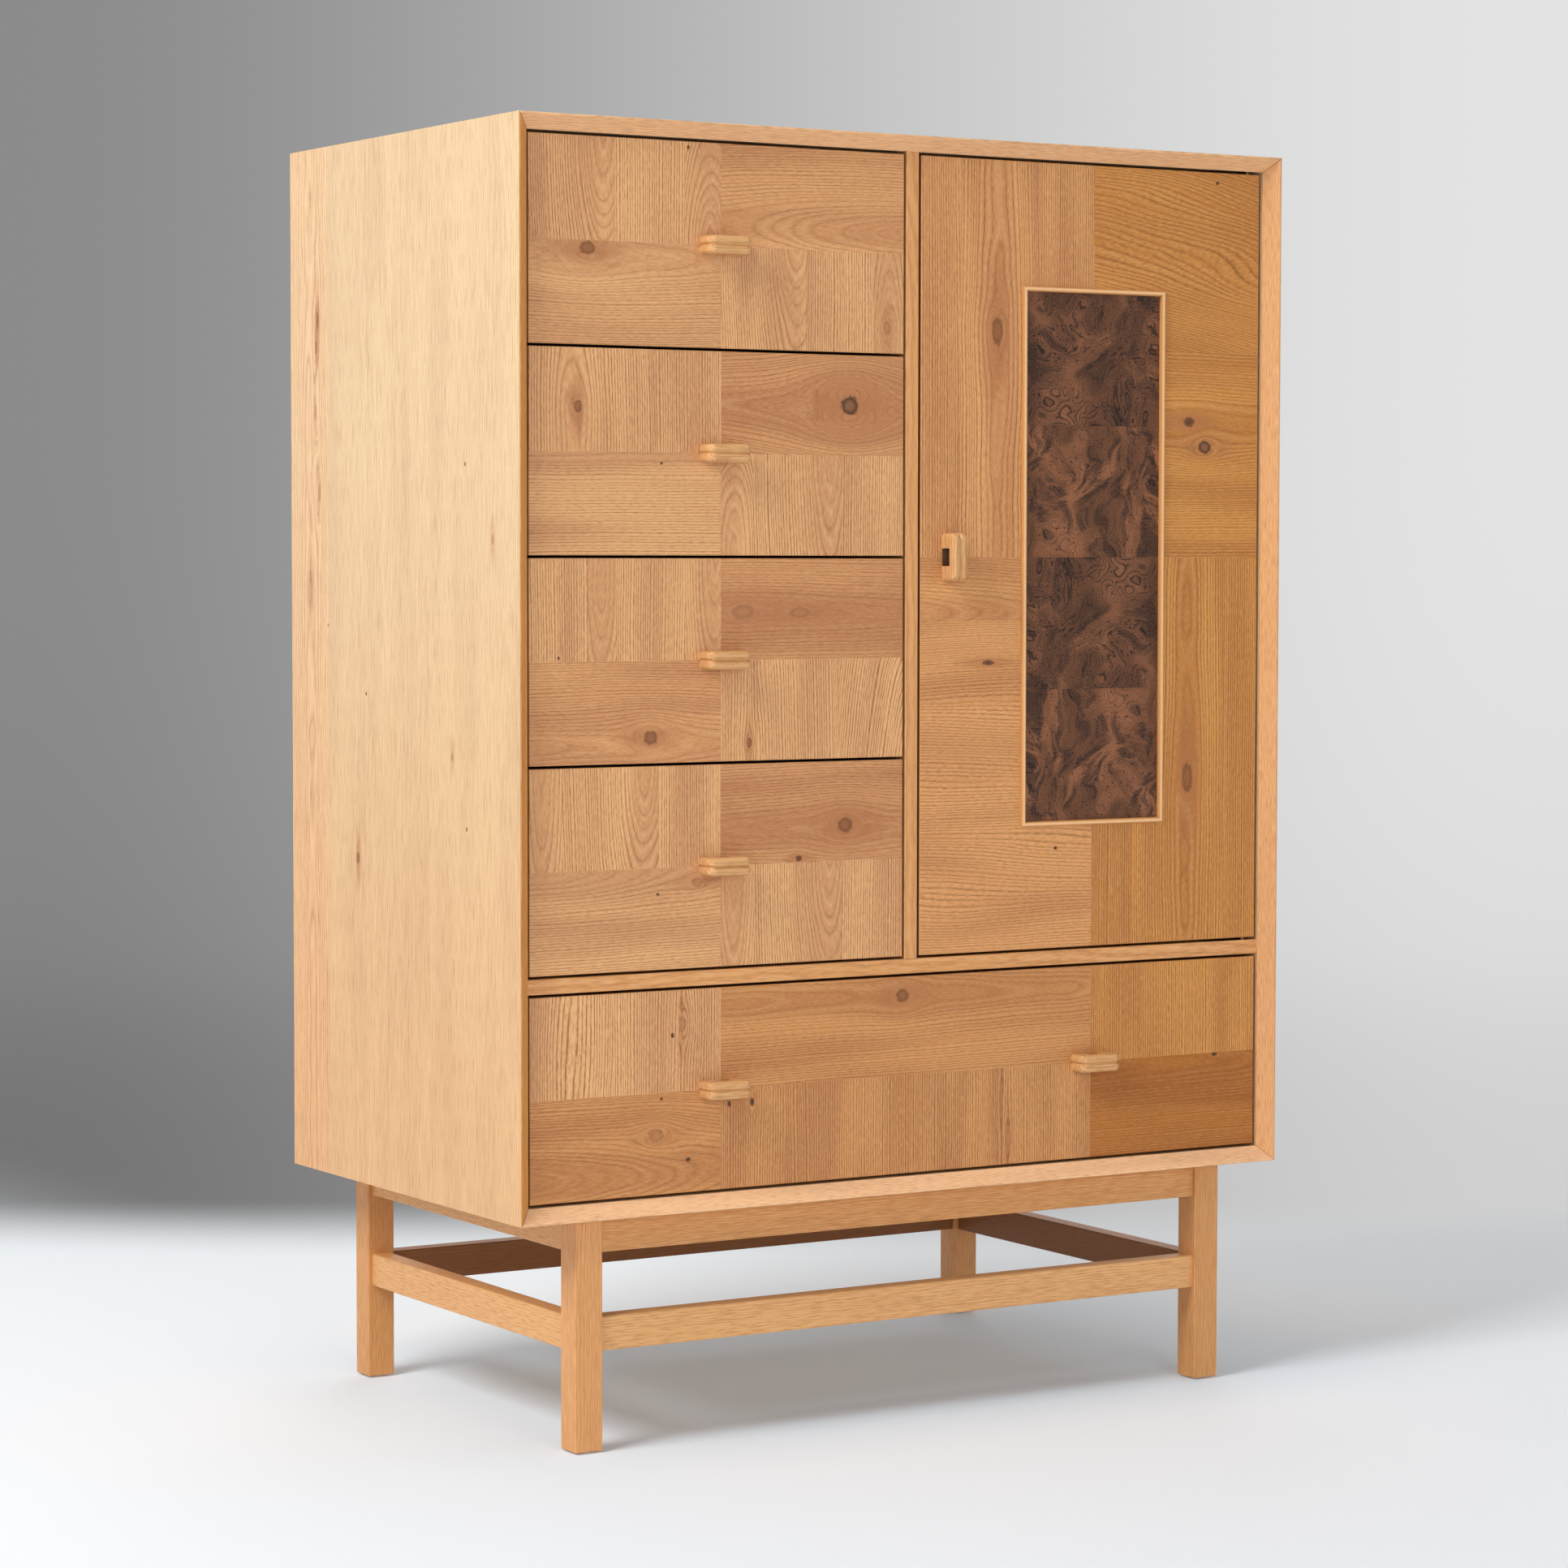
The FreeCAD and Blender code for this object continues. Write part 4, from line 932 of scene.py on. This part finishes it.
# The sweep's paint: tones, and the ranges, in metres unless they say otherwise, over which each fades in
sweepTones = {
    "near": "E4E8EC",
    "far": "EAEEF2",
    # painted shade on the floor under the case
    "under": "CFDCE6",
    "nearLift": 0.1,
    "farLift": 0.15,
    "dark": 0.26,
    "light": 0.77,
    "lowShade": (0.32, -0.14),  # at the dark side, and what the bright side changes
}
sweepRanges = {
    "backdrop": (0.8, 1.35),
    "sides": (-0.9, 0.9),
    "widening": 0.2,  # the sides spread with distance
    "sector": (0.45, 0.85),  # cosines of the angle in which the backdrop glows
    "rise": (1.2, 8.0),
    "floor": (-1.2, 0.8),
    "lift": (-0.3, 0.9),
    "underMiddle": (0.12, 0.03),
    "underX": (0.25, 0.75),
    "underY": (0.15, 0.5),
}


def makeSweep(spec):
    bm = bmesh.new()
    cove, inside = spec["cove"], spec["radius"] - spec["cove"]
    profile = [bm.verts.new((r, 0, 0)) for r in (*spec["rings"], inside)]
    for step in range(1, spec["coveSteps"] + 1):
        angle = math.radians(90 * step / spec["coveSteps"])
        profile.append(bm.verts.new((inside + cove * math.sin(angle), 0, cove * (1 - math.cos(angle)))))
    profile.append(bm.verts.new((spec["radius"], 0, spec["wallHeight"])))
    edges = [bm.edges.new(pair) for pair in zip(profile, profile[1:])]
    bmesh.ops.spin(bm, geom=profile + edges, cent=(0, 0, 0), axis=(0, 0, 1),
                   angle=math.tau, steps=spec["turnSteps"], use_merge=True)
    bmesh.ops.remove_doubles(bm, verts=bm.verts, dist=spec["weld"])
    bmesh.ops.recalc_face_normals(bm, faces=bm.faces)
    mesh = bpy.data.meshes.new("studioSweep")
    bm.to_mesh(mesh)
    bm.free()
    sweep = bpy.data.objects.new("studioSweep", mesh)
    bpy.context.scene.collection.objects.link(sweep)
    for face in mesh.polygons:
        face.use_smooth = True
    return sweep


def gray(level):
    return (level, level, level, 1.0)


def sweepPaint(tones, ranges, facing):
    bench = Bench("studioPaint")
    x, y, z = bench.place()
    yaw = math.radians(facing)
    lateral = x * math.cos(yaw) - y * math.sin(yaw)
    behind = x * math.sin(yaw) + y * math.cos(yaw)
    away = behind + z
    across = bench.step(lateral / (behind * ranges["widening"] + 1.0), *ranges["sides"])
    reach = (lateral * lateral + behind * behind).calc("SQRT")
    seen = bench.step(away, *ranges["backdrop"]) * bench.step(behind / reach, *ranges["sector"])
    glow = bench.blend(across, gray(tones["dark"]), gray(tones["light"]))
    low = bench.blend(across * tones["lowShade"][1] + tones["lowShade"][0], glow, gray(0.0))
    glow = bench.blend(bench.step(away, *ranges["rise"]), low, glow)
    # The floor is painted a little darker near the object than further back, a painted shade
    ground = bench.blend(bench.step(behind, *ranges["floor"]), tint(tones["near"]), tint(tones["far"]))
    # Painted shade: under the case the floor is painted darker and cooler
    middleX, middleY = ranges["underMiddle"]
    underX = 1.0 - bench.step((x - middleX).calc("ABSOLUTE"), *ranges["underX"])
    underY = 1.0 - bench.step((y - middleY).calc("ABSOLUTE"), *ranges["underY"])
    ground = bench.blend(underX * underY, ground, tint(tones["under"]))
    # The floor also glows a little by itself, more further back: painted light that lifts its shade
    sheen = bench.blend(bench.step(behind, *ranges["lift"]), gray(tones["nearLift"]), gray(tones["farLift"]))
    matte = bench.node("ShaderNodeBsdfDiffuse", None, {"Color": ground})
    lift = bench.node("ShaderNodeEmission", None, {"Color": sheen, "Strength": 1.0})
    lit = bench.node("ShaderNodeAddShader", None, {0: matte, 1: lift})
    painted = bench.node("ShaderNodeEmission", None, {"Color": glow, "Strength": 1.0})
    mixed = bench.node("ShaderNodeMixShader", None, {0: seen, 1: lit, 2: painted})
    bench.node("ShaderNodeOutputMaterial", None, {"Surface": mixed})
    return bench.material


sweep = makeSweep(studio)
sweep.data.materials.append(sweepPaint(sweepTones, sweepRanges, studio["facing"]))

# Soft square lights, in metres and watts
lamps = {
    "keyLight": {"spot": (-3.7, -1.0, 3.7), "aim": (-0.4, 0.0, 0.5), "size": 2.0, "power": 185.0},
    "topLight": {"spot": (0.7, 0.3, 4.6), "aim": (0.3, 0.0, 0.0), "size": 3.0, "power": 31.0},
    "fillLight": {"spot": (-0.9, -5.6, 1.4), "aim": (0.0, 0.0, 0.7), "size": 2.4, "power": 78.0},
    "rimLight": {"spot": (2.6, 4.2, 3.2), "aim": (0.0, 0.0, 0.7), "size": 2.6, "power": 40.0},
}
airGlow = 0.04


def softLight(name, spec):
    data = bpy.data.lights.new(name, "AREA")
    data.shape = "SQUARE"
    data.size = spec["size"]
    data.energy = spec["power"]
    lamp = bpy.data.objects.new(name, data)
    lamp.location = spec["spot"]
    lamp.rotation_euler = (Vector(spec["aim"]) - Vector(spec["spot"])).to_track_quat("-Z", "Y").to_euler()
    bpy.context.scene.collection.objects.link(lamp)


for name, spec in lamps.items():
    softLight(name, spec)

world = bpy.data.worlds.new("studioAir")
world.use_nodes = True
air = world.node_tree.nodes["Background"]
air.inputs["Color"].default_value = gray(1.0)
air.inputs["Strength"].default_value = airGlow
bpy.context.scene.world = world
bpy.context.scene.view_settings.view_transform = "Standard"
print("camera, studio and lights set")
